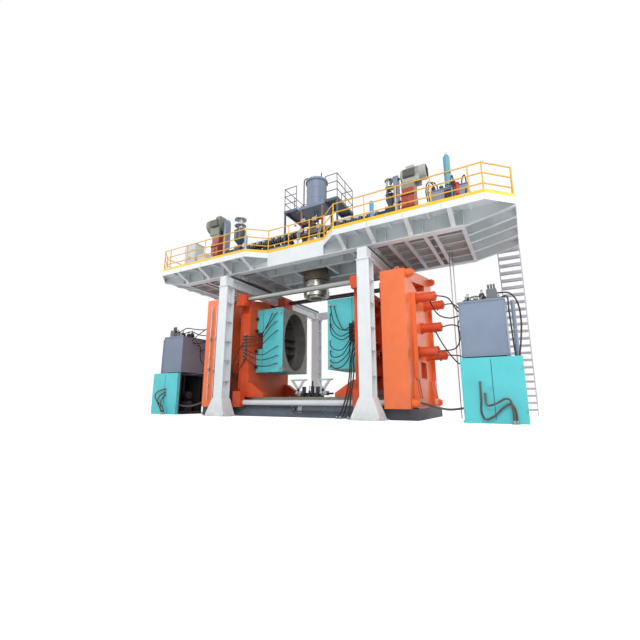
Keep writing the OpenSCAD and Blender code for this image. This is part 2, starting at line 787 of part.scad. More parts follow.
module die_head() {
    bore_r = head_bore / 2;
    lip_r = mandrel_d / 2 + die_gap;
    color(steel) difference() {
        union() {
            // Inlets of the two extruders
            difference() {
                bar_x(-inlet_x, inlet_x, 0, screw_z, 260);
                bar_z(screw_z - 131, screw_z + 131, 0, 0, head_bore + 10);
            }
            rotate_extrude() polygon([[lip_r, ring_z0 - 80], [450, ring_z0 - 80], [450, ring_z0],
                [ring_d / 2, ring_z0], [ring_d / 2, 5990], [ring_d / 2 - 30, 6010], [ring_d / 2 - 30, 6040],
                [ring_d / 2, 6060], [ring_d / 2, 6340], [ring_d / 2 - 40, 6350], [ring_d / 2 - 40, 6390],
                [ring_d / 2 + 50, 6400], [ring_d / 2 + 50, 6700], [560, 6700], [560, flange_z + 100],
                [420, flange_z + 100], [420, head_top], [ram_d / 2 + run_fit / 2, head_top],
                [ram_d / 2 + run_fit / 2, head_top - 100], [bore_r, head_top - 100], [bore_r, 6150],
                [lip_r, ring_z0 + 100]]);
            difference() {
                box(-head_hole + 20, head_hole - 20, -head_hole + 20, head_hole - 20, flange_z, flange_z + 100);
                bar_z(flange_z - 1, flange_z + 101, 0, 0, 1000);
            }
            // Feet that stand on the head's support beams
            difference() {
                box(-head_hole - 100, head_hole + 100, -head_hole - 100, head_hole + 100, deck_z, deck_z + 60);
                bar_z(deck_z - 1, deck_z + 61, 0, 0, 1000);
            }
        }
        bar_x(-inlet_x - 1, inlet_x + 1, 0, screw_z, 80);
    }
}

module mandrel() {
    stem_d = ram_d - 80;
    color(dark_steel) rotate_extrude() polygon([[0, ring_z0 - 90], [mandrel_d / 2, ring_z0 - 90],
        [mandrel_d / 2, ring_z0], [stem_d / 2, ring_z0 + 400], [stem_d / 2, 9800], [0, 9800]]);
}

module head_frame() {
    pillar_x = 600;
    pillar_y = 500;
    color("#6e5a50") difference() {
        union() {
            for (x = [-pillar_x, pillar_x], y = [-pillar_y, pillar_y])
                bar_z(flange_z + 100, top_plate_z, x, y, 110);
            box(-730, 730, -600, 600, top_plate_z, top_plate_z + top_plate_t);
        }
        bar_z(top_plate_z - 1, top_plate_z + top_plate_t + 1, 0, 0, ram_d + 40);
    }
}

module injection_cylinder() {
    z0 = top_plate_z + top_plate_t;
    z1 = z0 + inj_h;
    color(blue_grey) rotate_extrude() polygon([[ram_d / 2 + run_fit / 2, z0], [inj_d / 2 + 40, z0],
        [inj_d / 2 + 40, z0 + 40], [inj_d / 2, z0 + 40], [inj_d / 2, z1 - 160], [inj_d / 2 + 60, z1 - 160],
        [inj_d / 2 + 60, z1 - 60], [inj_d / 2 - 20, z1 - 60], [inj_d / 2 - 20, z1], [0, z1],
        [0, z1 - 120], [250, z1 - 120], [250, z0 + 100], [ram_d / 2 + run_fit / 2, z0 + 100]]);
}

module ram_rod() {
    stem = ram_d / 2 - 40 + run_fit / 2;
    top = top_plate_z + top_plate_t + inj_h - 250;
    piston_z = top - 180;
    color(steel) rotate_extrude() polygon([[stem, 8150], [head_bore / 2 - run_fit / 2, 8150],
        [head_bore / 2 - run_fit / 2, 8500], [ram_d / 2, 8500], [ram_d / 2, piston_z],
        [250 - run_fit / 2, piston_z], [250 - run_fit / 2, top], [0, top], [0, piston_z], [stem, piston_z]]);
}

// Two grey platforms beside the injection cylinder
module service_platforms() {
    floor_z = top_plate_z + top_plate_t + 100;
    rail_h = 1300;
    y0 = -500;
    y1 = 1400;
    tube_w = 40;
    color(blue_grey) for (span = [[-1710, -930], [1450, 740]]) {
        out = span[0];
        inn = span[1];
        x0 = min(out, inn);
        x1 = max(out, inn);
        s = out < 0 ? -1 : 1;
        box(x0, x1, y0, y1, floor_z - 20, floor_z);
        // Edge frame of the platform
        difference() {
            box(x0, x1, y0, y1, floor_z - 140, floor_z - 20);
            box(x0 + 60, x1 - 60, y0 + 60, y1 - 60, floor_z - 141, floor_z - 19);
        }
        // Bearers from the top plate
        for (y = [-350, 350])
            box(s < 0 ? x1 - 60 : 730, s < 0 ? -730 : 790, y - 40, y + 40, floor_z - 240, floor_z - 140);
        for (p = [[out - s * 50, y0 + 50], [out - s * 50, y1 - 50]])
            box(p[0] - 40, p[0] + 40, p[1] - 40, p[1] + 40, deck_z, floor_z - 140);
        handrail([[inn + s * 30, y0 + 30], [out - s * 30, y0 + 30], [out - s * 30, (y0 + y1) / 2],
            [out - s * 30, y1 - 30], [inn + s * 30, y1 - 30]], floor_z, rail_h, tube_w);
    }
}

// Barrel from the head to the belt guard, with its flange, heater bands and stand
module extruder(side, guard_x, feed, bore, shaft_d) {
    feed_x = feed + 210;
    flange_x = 1100;
    color(dark_grey) on_side(side) {
        difference() {
            union() {
                bar_x(inlet_x, flange_x, 0, screw_z, 200);
                bar_x(flange_x, flange_x + 120, 0, screw_z, ext_d + 160);
                bar_x(flange_x, feed_x, 0, screw_z, ext_d);
                for (x = [flange_x + 240 : 420 : feed_x - 1100])
                    bar_x(x, x + 300, 0, screw_z, ext_d + 90);
                box(feed_x - 420, feed_x, -ext_d * 0.7, ext_d * 0.7, screw_z - ext_d * 0.7, screw_z + ext_d * 0.7);
                bar_x(feed_x - 10, guard_x - guard_half_t - 2, 0, screw_z, 280);
                // Stand under the barrel
                for (x = [flange_x + 700, feed_x - 300]) {
                    box(x - 60, x + 60, -300, 300, deck_z, deck_z + 30);
                    box(x - 50, x + 50, -250, -150, deck_z + 30, screw_z - 120);
                    box(x - 50, x + 50, 150, 250, deck_z + 30, screw_z - 120);
                    box(x - 50, x + 50, -250, 250, screw_z - 300, screw_z - 120);
                }
                box(flange_x + 650, feed_x - 250, -290, -210, deck_z + 700, deck_z + 800);
                box(flange_x + 650, feed_x - 250, 210, 290, deck_z + 700, deck_z + 800);
            }
            bar_x(flange_x - 100, feed_x + 1, 0, screw_z, bore + run_fit);
            bar_x(inlet_x - 1, flange_x, 0, screw_z, 80);
            bar_x(feed_x, guard_x, 0, screw_z, shaft_d + 40);
            // Feed throat under the hopper
            bar_z(screw_z, screw_z + ext_d, feed, 0, 180);
        }
    }
}

// Screw: core, tip and flight bands, with the drive sleeve that goes to the gearbox
module screw(side, feed, d, gear_in, shaft_d) {
    flange_x = 1100;
    feed_x = feed + 210;
    color(steel) on_side(side) {
        bar_x(flange_x, feed_x, 0, screw_z, d - 40);
        for (x = [flange_x + 40 : 160 : feed_x - 120])
            bar_x(x, x + 24, 0, screw_z, d);
        bar_x(feed_x - 80, feed_x, 0, screw_z, d);
        bar_x(feed_x, gear_in + 40, 0, screw_z, shaft_d);
    }
}

// Red gearbox on its stand, with the grey bracket that carries the motor
module gearbox(side, x0, x1, top, bracket_top) {
    half = 380;
    color("#a43c34") on_side(side) difference() {
        union() {
            box(x0, x1, -half, half, screw_z - 420, top);
            box(x0 + 60, x1 - 60, -half - 30, half + 30, top - 120, top - 60);
            // Stand
            box(x0 - 40, x1 + 40, -half - 60, half + 60, screw_z - 520, screw_z - 420);
            for (x = [x0 + 40, x1 - 40], y = [-half, half])
                box(x - 60, x + 60, y - 60, y + 60, deck_z + 30, screw_z - 520);
            box(x0 - 60, x1 + 60, -half - 80, half + 80, deck_z, deck_z + 30);
            // Motor bracket
            along_y(-half + 40, half - 40, [[x0 + 30, top], [x1 - 30, top], [x1, bracket_top - 40],
                [x1, bracket_top], [x0, bracket_top], [x0, bracket_top - 40]]);
        }
        // Sockets of the screw's sleeve and of the pulley's shaft
        bar_x(x0 - 1, x0 + 60, 0, screw_z, sleeve_d + run_fit);
        bar_x(x0 - 1, x0 + 200, 0, screw_z + 400, 90 + run_fit);
    }
}

module motor(side, x0, x1, z, d, foot_z) {
    color("#b9b7a8") on_side(side) difference() {
        union() {
            bar_x(x0 + 60, x1 - 180, 0, z, d);
            bar_x(x1 - 180, x1, 0, z, d - 60);
            bar_x(x0, x0 + 60, 0, z, d * 0.75);
            for (y = [-d * 0.36, d * 0.36])
                box(x0 + 120, x1 - 300, y - 60, y + 60, foot_z, z - d * 0.2);
            box(x0 + 260, x0 + 620, -d * 0.2, d * 0.3, z + d * 0.42, z + d / 2 + 130);
        }
        bar_x(x0 - 1, x0 + 160, 0, z, 80 + run_fit);
    }
}

// Diameter of the drive sleeve between the gearbox and a screw
sleeve_d = 110;

// Upright guard with round ends round the two pulleys
guard_half_t = 100;
guard_wall = 12;
module belt_guard(side, guard_x, motor_z) {
    r = 190;
    gear_z = screw_z + 400;
    x0 = guard_x - guard_half_t;
    x1 = guard_x + guard_half_t;
    color(blue_grey) on_side(side) difference() {
        union() {
            bar_x(x0, x1, 0, motor_z, 2 * r);
            bar_x(x0, x1, 0, gear_z, 2 * r);
            box(x0, x1, -r, r, gear_z, motor_z);
            // Foot that stands on the deck
            box(x0 + 20, x1 - 20, -r + 20, r - 20, deck_z, gear_z);
        }
        bar_x(x0 + guard_wall, x1 - guard_wall, 0, motor_z, 2 * (r - guard_wall));
        bar_x(x0 + guard_wall, x1 - guard_wall, 0, gear_z, 2 * (r - guard_wall));
        box(x0 + guard_wall, x1 - guard_wall, -r + guard_wall, r - guard_wall, gear_z, motor_z);
        for (z = [motor_z, gear_z]) bar_x(guard_x, x1 + 1, 0, z, 120);
        bar_x(x0 - 1, x1 + 1, 0, screw_z, 170);
    }
}

// Grooved pulley with its shaft, towards the motor or the gearbox
module pulley(side, guard_x, z, d, shaft_d, shaft_end) {
    t = 2 * (guard_half_t - guard_wall) - 40;
    color(dark_steel) on_side(side) difference() {
        union() {
            bar_x(guard_x - t / 2, guard_x + t / 2, 0, z, d);
            bar_x(guard_x + t / 2, shaft_end, 0, z, shaft_d);
        }
        for (k = [-2 : 2]) difference() {
            bar_x(guard_x + k * 24 - 7, guard_x + k * 24 + 7, 0, z, d + 2);
            bar_x(guard_x + k * 24 - 8, guard_x + k * 24 + 8, 0, z, d - 30);
        }
    }
}

// Hopper over the feed throat, with the loader beside it
module hopper(side, x, r, top, loader_x, loader_top, feed_top) {
    color(dark_grey) on_side(side) {
        translate([x, 0, 0]) rotate_extrude() polygon([[0, feed_top], [110, feed_top], [110, feed_top + 120],
            [r, feed_top + 400], [r, top - 60], [r - 50, top], [0, top]]);
        bar_z(top, loader_top, x + loader_x, 0, 260);
        bar_z(loader_top, loader_top + 60, x + loader_x, 0, 180);
    }
}

// Diameter of the anchor holes in the base plates
anchor_d = 36;

module power_unit(side) {
    x1 = unit_x + tank_w;
    post = 80;
    y0 = -tank_front;
    y1 = -tank_front + tank_d;
    color(blue_grey) on_side(side) {
        box(unit_x, x1, y0, y1, tank_z0, tank_z1);
        box(unit_x - 25, x1 + 25, y0 - 25, y1 + 25, tank_z1, tank_z1 + 30);
        // Open frame below the tank
        for (x = [unit_x, x1 - post], y = [y0, y1 - post]) box(x, x + post, y, y + post, 60, tank_z0);
        for (z = [60, cabinet_h - 100]) for (y = [y0, y1 - post]) box(unit_x, x1, y, y + post, z, z + 80);
        for (z = [60, cabinet_h - 100]) for (x = [unit_x, x1 - post]) box(x, x + post, y0, y1, z, z + 80);
        // Base plate with four anchor holes
        difference() {
            box(unit_x - 100, x1 + 100, y0 - 40, y1 + 40, 0, 60);
            for (x = [unit_x - 50, x1 + 50], y = [y0 + 120, y1 - 120]) bar_z(-1, 61, x, y, anchor_d);
        }
        // Pump and motor in the frame
        bar_x(unit_x + 200, unit_x + 900, -tank_front + 900, 450, 420);
        bar_x(unit_x + 900, unit_x + 1150, -tank_front + 900, 450, 240);
        box(unit_x + 250, unit_x + 850, -tank_front + 720, -tank_front + 1080, 60, 300);
        // Turquoise cabinet in front of the frame
        box(unit_x - 50, x1 + 350, y0 - 200, y0 - 40, 0, cabinet_h);
        box(unit_x, x1, y0 - 40, y0, 200, cabinet_h - 60);
        // Cooler pipe beside the tank
        bar_z(0, tank_z1 - 40, x1 + 230, y0 + 170, 120);
        for (z = [1200, tank_z1 - 420]) box(x1 - 40, x1 + 230, y0 + 150, y0 + 190, z, z + 40);
        // Valve block on the tank
        box(unit_x + tank_w - 520, unit_x + tank_w - 200, y0 + 150, y0 + 500, tank_z1 + 30, tank_z1 + 430);
        for (k = [0, 1, 2])
            bar_z(tank_z1 + 430, tank_z1 + 640, unit_x + tank_w - 450 + k * 90, y0 + 320, 70);
    }
}

cabinet_x = -7500;
cabinet_y = -1820;
cabinet_top = 9200;
module control_cabinet() {
    wall = 20;
    color("#dfe3e2") {
        difference() {
            box(cabinet_x, cabinet_x + 830, cabinet_y, cabinet_y + 600, deck_z, cabinet_top);
            box(cabinet_x + wall, cabinet_x + 830 - wall, cabinet_y - 1, cabinet_y + 600 - wall,
                deck_z + wall, cabinet_top - wall);
        }
        box(cabinet_x + 900, cabinet_x + 1600, cabinet_y + 50, cabinet_y + 550, deck_z, cabinet_top - 700);
        box(cabinet_x + 200, cabinet_x + 630, cabinet_y + 300, cabinet_y + 580, deck_z + 200, cabinet_top - 300);
        // Hinge pins of the door
        for (z = [deck_z + 250, cabinet_top - 300]) {
            bar_z(z - 40, z, cabinet_x + 15, cabinet_y - 25, 30);
            bar_z(z, z + 70, cabinet_x + 15, cabinet_y - 25, 14);
            box(cabinet_x + 1, cabinet_x + 29, cabinet_y - 25, cabinet_y, z - 40, z);
        }
    }
}

module cabinet_door() {
    color("#dfe3e2") difference() {
        union() {
            box(cabinet_x + 40, cabinet_x + 828, cabinet_y - 30, cabinet_y - 2, deck_z + 15, cabinet_top - 5);
            for (z = [deck_z + 250.5, cabinet_top - 299.5]) {
                bar_z(z, z + 60, cabinet_x + 15, cabinet_y - 25, 30);
                box(cabinet_x + 20, cabinet_x + 50, cabinet_y - 30, cabinet_y - 10, z, z + 60);
            }
        }
        for (z = [deck_z + 250, cabinet_top - 300])
            bar_z(z - 1, z + 80, cabinet_x + 15, cabinet_y - 25, 14 + run_fit);
    }
}

// Hydraulic tank with its bottle accumulator and red filter, and the two blue posts
module deck_hydraulics() {
    tank_top = 8500;
    lid_top = tank_top + 25;
    bottle_z0 = lid_top + 205;
    bottle_z1 = 10040;
    post_top = deck_z + 1620;
    color(blue_grey) {
        box(6070, 7430, -1900, -1100, deck_z, tank_top);
        box(6040, 7460, -1930, -1070, tank_top, lid_top);
        bar_z(lid_top, bottle_z0, 6720, -1500, 160);
        bar_z(bottle_z0, bottle_z1, 6720, -1500, 250);
        bar_z(bottle_z1, bottle_z1 + 70, 6720, -1500, 190);
        bar_z(bottle_z1 + 70, bottle_z1 + 120, 6720, -1500, 70);
        bar_z(tank_top - 380, tank_top + 30, 7080, -1935, 130);
        bar_z(tank_top + 30, tank_top + 80, 7080, -1935, 170);
        box(6900, 7080, -1650, -1450, lid_top, lid_top + 275);
    }
    color("#3e86c2") both_sides() bar_z(deck_z, post_top, 3500, -1350, 180);
    // Two conduits from the deck to the floor
    color(steel) for (x = [6230, 6360]) bar_z(0, plate_z0, x, 600, 40);
}

// Parison spreader on the middle block of the bed, with the blow pin in its middle
spreader_y = -350;
spreader_z = 950;
module spreader_base() {
    color(dark_grey) {
        box(-580, 580, spreader_y - 300, spreader_y + 300, bed_h, bed_h + 60);
        box(-480, 480, spreader_y - 220, spreader_y + 220, bed_h + 60, spreader_z);
        box(-1050, 1050, spreader_y - 60, spreader_y + 60, spreader_z, spreader_z + 80);
        bar_z(spreader_z + 80, 1330, 0, spreader_y, 160);
        bar_z(1330, 1560, 0, spreader_y, 70);
        for (x = [-420, 300]) box(x, x + 120, spreader_y - 220, spreader_y - 70, spreader_z, 1300);
    }
}

// Arm of the spreader: a shoe on the beam, crossed links and the plate that they carry
module spreader_arm(side) {
    x0 = 490;
    link_t = 30;
    y0 = spreader_y - 160;
    color(steel) on_side(side) {
        difference() {
            box(x0, x0 + 300, spreader_y - 130, spreader_y + 130, spreader_z - 40, spreader_z + 160);
            box(x0 - 1, x0 + 301, spreader_y - 60 - shoe_gap, spreader_y + 60 + shoe_gap,
                spreader_z - 41, spreader_z + 80 + shoe_gap);
        }
        along_y(y0, y0 + link_t, [[x0 + 20, 960], [x0 + 90, 960], [x0 + 520, 1600], [x0 + 450, 1600]]);
        along_y(y0, y0 + link_t, [[x0 + 230, 960], [x0 + 300, 960], [x0 - 90, 1600], [x0 - 160, 1600]]);
        box(x0 - 200, x0 + 560, y0 - 40, y0 + 200, 1600, 1640);
    }
}

// Free hoses. Each run is [diameter, direction that it leaves in, places from its upper fitting
// to its lower one, direction that it arrives in]
right_way = [1, 0, 0];
left_way = [-1, 0, 0];
front = [0, -1, 0];
back = [0, 1, 0];
down = [0, 0, -1];
mould_hose_d = 42;
supply_d = 55;
nozzle_y = -platen_half_d - 140;
hoses_left_runs = [
    [mould_hose_d, front, [[-1560, -1090, 4790], [-1860, -1290, 4250], [-2250, -1500, 3720],
        [-2800, -1870, 3630], [-2920, nozzle_y, 3650]], back],
    [mould_hose_d, front, [[-1800, -1090, 4790], [-2010, -1230, 4250], [-2320, -1430, 3600],
        [-2800, -1870, 3480], [-2920, nozzle_y, 3500]], back],
    [mould_hose_d, front, [[-1550, -1090, 4400], [-1820, -1300, 4060], [-2200, -1520, 3500],
        [-2800, -1870, 3330], [-2920, nozzle_y, 3350]], back],
    [mould_hose_d, front, [[-1480, -1090, 3950], [-1760, -1290, 3660], [-2160, -1520, 3240],
        [-2800, -1870, 3180], [-2920, nozzle_y, 3200]], back],
    [mould_hose_d, front, [[-1450, -1090, 3190], [-1720, -1300, 2980], [-2120, -1520, 2760],
        [-2800, -1870, 3000], [-2920, nozzle_y, 3050]], back],
    [mould_hose_d, front, [[-1440, -1090, 2760], [-1800, -1300, 2600], [-2260, -1560, 2540],
        [-2800, -1870, 2840], [-2920, nozzle_y, 2900]], back],
    [mould_hose_d, front, [[-1490, -1090, 2390], [-1900, -1300, 2250], [-2400, -1600, 2300],
        [-2800, -1870, 2660], [-2920, nozzle_y, 2750]], back],
    [supply_d, down, [[-2920, -1715, 2600], [-3080, -1880, 2100], [-3280, -2050, 1500],
        [-3290, -2055, 900], [-3280, -2060, 45]], down],
    [supply_d, left_way, [[-3000, -1715, 3320], [-3200, -1900, 2900], [-3340, -2040, 2100],
        [-3360, -2055, 1200], [-3380, -2060, 45]], down]];
hoses_right_runs = [
    [mould_hose_d, front, [[1380, -1090, 4780], [1460, -1230, 4350], [1640, -1300, 3920],
        [2000, -1330, 3600], [2420, -1330, 3720], [2500, -1240, 3800]], back],
    [mould_hose_d, front, [[1540, -1090, 4760], [1700, -1240, 4300], [1900, -1300, 3860],
        [2160, -1410, 3560], [2520, -1410, 3620], [2600, -1240, 3700]], back],
    [mould_hose_d, front, [[1350, -1090, 4430], [1400, -1240, 4000], [1580, -1310, 3610],
        [1950, -1360, 3330], [2400, -1360, 3500], [2480, -1240, 3600]], back],
    [mould_hose_d, front, [[1330, -1090, 3980], [1430, -1240, 3590], [1650, -1320, 3330],
        [2060, -1380, 3180], [2520, -1370, 3420], [2600, -1240, 3500]], back],
    [mould_hose_d, front, [[1330, -1090, 3220], [1420, -1240, 2960], [1670, -1320, 2780],
        [2060, -1390, 2780], [2400, -1370, 3200], [2480, -1240, 3400]], back],
    [mould_hose_d, front, [[1330, -1090, 2780], [1450, -1240, 2540], [1720, -1330, 2460],
        [2120, -1440, 2600], [2520, -1490, 3140], [2600, -1240, 3300]], back],
    [mould_hose_d, front, [[1320, -1090, 2390], [1540, -1240, 2240], [1880, -1330, 2270],
        [2310, -1410, 2600], [2400, -1400, 3000], [2480, -1240, 3210]], back],
    [mould_hose_d, front, [[1340, -1090, 2170], [1620, -1240, 2000], [2030, -1330, 2090],
        [2360, -1420, 2450], [2470, -1560, 2850], [2600, -1500, 3100], [2660, -1240, 3200]], back],
    [supply_d, down, [[2560, -1170, 3150], [2570, -1330, 2800], [2580, -1650, 2500],
        [2660, -1880, 2050], [2690, -2030, 1500], [2630, -2070, 1000], [2540, -2100, 600],
        [2410, -2160, 160], [2300, -2200, 40]], down],
    [supply_d, down, [[2650, -1170, 3150], [2665, -1400, 2750], [2670, -1700, 2350],
        [2780, -1930, 1850], [2770, -2050, 1350], [2710, -2110, 900], [2680, -2150, 450],
        [2620, -2200, 40]], down],
    [supply_d, down, [[2470, -1170, 3150], [2480, -1400, 2650], [2520, -1700, 2200],
        [2600, -1950, 1700], [2560, -2060, 1150], [2450, -2110, 650], [2280, -2160, 200],
        [2150, -2200, 40]], down]];

// Hoses of one side's clamp cylinders, drawn for the right-hand side
clamp_hose_d = 48;
clamp_runs = [
    [clamp_hose_d, right_way, [[5800, -770, 4700], [6300, -950, 4500], [6640, -1500, 3900],
        [6790, -1500, 3800]], right_way],
    [clamp_hose_d, down, [[5600, -770, 4510], [5900, -1000, 3900], [6350, -1300, 3650],
        [6790, -1400, 3680]], right_way],
    [clamp_hose_d, right_way, [[5800, 770, 4700], [6250, 300, 4560], [6560, -300, 4200],
        [6790, -640, 3860]], right_way],
    [clamp_hose_d, right_way, [[5800, 0, 3600], [6300, -400, 3560], [6790, -900, 3300]], right_way],
    [clamp_hose_d, down, [[5600, 0, 3410], [5950, -300, 2700], [6450, -800, 2050],
        [6790, -1000, 1990]], right_way],
    [clamp_hose_d, right_way, [[5800, -770, 2530], [6400, -900, 2560], [6620, -1000, 2900],
        [6600, -1060, 3450], [6790, -1100, 3600]], right_way],
    [clamp_hose_d, right_way, [[5800, 770, 2530], [6350, 200, 2420], [6790, -600, 2260]], right_way],
    [75, right_way, [[5280, -1850, 600], [5800, -1870, 470], [6250, -1960, 400],
        [6790, -2030, 450]], right_way]];
// Hoses at the right-hand cabinet and valve block
right_runs = [
    [65, front, [[7300, -2270, 1270], [7290, -2360, 700], [7270, -2370, 350], [7380, -2380, 120],
        [7650, -2380, 250], [7900, -2380, 480], [8120, -2380, 590], [8220, -2370, 420],
        [8240, -2360, 50]], down],
    [65, front, [[7420, -2270, 900], [7450, -2400, 560], [7700, -2470, 600], [7960, -2470, 740],
        [8110, -2460, 700], [8160, -2450, 400], [8160, -2440, 50]], down],
    [50, right_way, [[8020, -1750, 4250], [8400, -1800, 4180], [8600, -1900, 3800], [8640, -2000, 3200],
        [8580, -2120, 2600], [8500, -2190, 2050]], down],
    [50, right_way, [[8020, -1650, 4100], [8310, -1900, 4050], [8330, -2040, 3600], [8350, -2120, 2900],
        [8380, -2190, 2050]], down],
    [50, left_way, [[7700, -1750, 4150], [7300, -1720, 4230], [7020, -1660, 4130],
        [7000, -1650, 3970]], down]];
// Hoses at the left-hand cabinet and valve block
left_runs = [
    [60, front, [[-7560, -2270, 1250], [-8000, -2380, 1130], [-8200, -2380, 920], [-8020, -2380, 650],
        [-7650, -2370, 420], [-7450, -2360, 45]], down],
    [60, front, [[-7540, -2270, 1100], [-7860, -2380, 900], [-7900, -2440, 620], [-7640, -2450, 300],
        [-7400, -2460, 45]], down],
    [60, front, [[-7540, -2270, 950], [-7700, -2400, 640], [-7520, -2540, 300], [-7380, -2560, 45]], down],
    [50, right_way, [[-7700, -1750, 4200], [-7000, -1750, 4430], [-6350, -1740, 4330],
        [-5700, -1700, 4250], [-5010, -1650, 4330]], right_way],
    [50, right_way, [[-7700, -1650, 4080], [-6800, -1640, 4250], [-6000, -1640, 4000],
        [-5010, -1650, 3900]], right_way]];

// Smooth curve through the places of a run, with a straight piece at each fitting
function straight_ends(run) = let (p = run[2], n = len(p) - 1)
    concat([p[0], p[0] + 60 * run[1]], [for (i = [1 : n - 1]) p[i]], [p[n] - 60 * run[3], p[n]]);
function blend3(a, b, c, d, t) = 0.5 * (2 * b + (c - a) * t + (2 * a - 5 * b + 4 * c - d) * t * t
    + (3 * b - a - 3 * c + d) * t * t * t);
function smooth(p, k = 2) = let (n = len(p) - 1) concat([p[0]],
    [for (i = [1 : n - 2], j = [0 : k - 1]) blend3(p[i - 1], p[i], p[i + 1], p[i + 2], j / k)],
    [p[n - 1], p[n]]);
function along(p, run) = let (n = len(p) - 1)
    [for (i = [0 : n]) i < 1 ? run[1] : i == n ? run[3] : unit(p[i + 1] - p[i - 1])];
// A side direction carried along the run without twist
function carried(t, s, i = 0) = i >= len(t) ? [] :
    let (v = unit(s - (s * t[i]) * t[i])) concat([v], carried(t, v, i + 1));

module hose(run, n = 8) {
    path = smooth(straight_ends(run));
    t = along(path, run);
    m = len(path);
    side = carried(t, abs(t[0][2]) > 0.7 ? [1, 0, 0] : [0, 0, 1]);
    points = [for (i = [0 : m - 1], k = [0 : n - 1]) path[i] + run[0] / 2
        * (cos(k * 360 / n) * side[i] + sin(k * 360 / n) * cross(t[i], side[i]))];
    walls = [for (i = [0 : m - 2], k = [0 : n - 1], half = [0, 1]) let (a = i * n + k, b = i * n + (k + 1) % n)
        half == 0 ? [a, b + n, b] : [a, a + n, b + n]];
    caps = [[for (k = [0 : n - 1]) k], [for (k = [n - 1 : -1 : 0]) (m - 1) * n + k]];
    polyhedron(points, concat(walls, caps));
}

module hoses_left() {
    color(dark_grey) for (run = hoses_left_runs) hose(run);
}
module hoses_right() {
    color(dark_grey) for (run = hoses_right_runs) hose(run);
}
module power_hoses() {
    color(dark_grey) {
        both_sides() for (run = clamp_runs) hose(run);
        for (run = concat(right_runs, left_runs)) hose(run);
    }
}

module end_plate_left() { end_plate(-1); }
module end_plate_right() { end_plate(1); }
module clamp_cylinders_left() { clamp_cylinders(-1); }
module clamp_cylinders_right() { clamp_cylinders(1); }
module piston_rods_left() { piston_rods(-1); }
module piston_rods_right() { piston_rods(1); }
module platen_left() { platen(-1); }
module platen_right() { platen(1); }
module mould_half_left() { mould_half(-1); }
module mould_half_right() { mould_half(1); }
module extruder_left() { extruder(-1, guard_l_x, feed_l_x, screw_l_d, sleeve_d); }
module extruder_right() { extruder(1, guard_r_x, feed_r_x, screw_r_d, sleeve_d); }
module screw_left() { screw(-1, feed_l_x, screw_l_d, guard_l_x + 290, sleeve_d); }
module screw_right() { screw(1, feed_r_x, screw_r_d, guard_r_x + 290, sleeve_d); }
module gearbox_left() { gearbox(-1, guard_l_x + 290, guard_l_x + 850, 9800, 10350); }
module gearbox_right() { gearbox(1, guard_r_x + 290, guard_r_x + 860, 9700, 10250); }
module motor_left() { motor(-1, guard_l_x + 190, guard_l_x + 1330, motor_l_z, motor_l_d, 10350); }
module motor_right() { motor(1, guard_r_x + 240, guard_r_x + 1410, motor_r_z, motor_r_d, 10250); }
module belt_guard_left() { belt_guard(-1, guard_l_x, motor_l_z); }
module belt_guard_right() { belt_guard(1, guard_r_x, motor_r_z); }
module motor_pulley_left() { pulley(-1, guard_l_x, motor_l_z, 260, 80, guard_l_x + 330); }
module motor_pulley_right() { pulley(1, guard_r_x, motor_r_z, 260, 80, guard_r_x + 380); }
module gear_pulley_left() { pulley(-1, guard_l_x, screw_z + 400, 320, 90, guard_l_x + 480); }
module gear_pulley_right() { pulley(1, guard_r_x, screw_z + 400, 320, 90, guard_r_x + 480); }
module hopper_left() { hopper(-1, feed_l_x, 330, 10400, -60, 11050, screw_z + ext_d * 0.7); }
module hopper_right() { hopper(1, feed_r_x, 210, 9900, -60, 10740, screw_z + ext_d * 0.7); }
module power_unit_left() { power_unit(-1); }
module power_unit_right() { power_unit(1); }
module spreader_arm_left() { spreader_arm(-1); }
module spreader_arm_right() { spreader_arm(1); }

machine_bed();
plate_bases();
guide_rails();
tie_bars();
end_plate_left();
end_plate_right();
clamp_cylinders_left();
clamp_cylinders_right();
piston_rods_left();
piston_rods_right();
platen_left();
platen_right();
mould_half_left();
mould_half_right();
cooling_manifold_left();
cooling_manifold_right();
sync_rack_left();
sync_rack_right();
sync_pinion();
columns();
cross_beams();
deck_rails();
deck_frame();
deck_plate();
toe_board();
deck_handrail();
access_ladder();
die_head();
mandrel();
head_frame();
injection_cylinder();
ram_rod();
service_platforms();
extruder_left();
extruder_right();
screw_left();
screw_right();
gearbox_left();
gearbox_right();
motor_left();
motor_right();
belt_guard_left();
belt_guard_right();
motor_pulley_left();
motor_pulley_right();
gear_pulley_left();
gear_pulley_right();
hopper_left();
hopper_right();
power_unit_left();
power_unit_right();
control_cabinet();
cabinet_door();
deck_hydraulics();
spreader_base();
spreader_arm_left();
spreader_arm_right();
hoses_left();
hoses_right();
power_hoses();
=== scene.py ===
"""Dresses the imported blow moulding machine: paint, hoses, fittings and a plain pale stage."""

from math import cos, pi, radians, sin

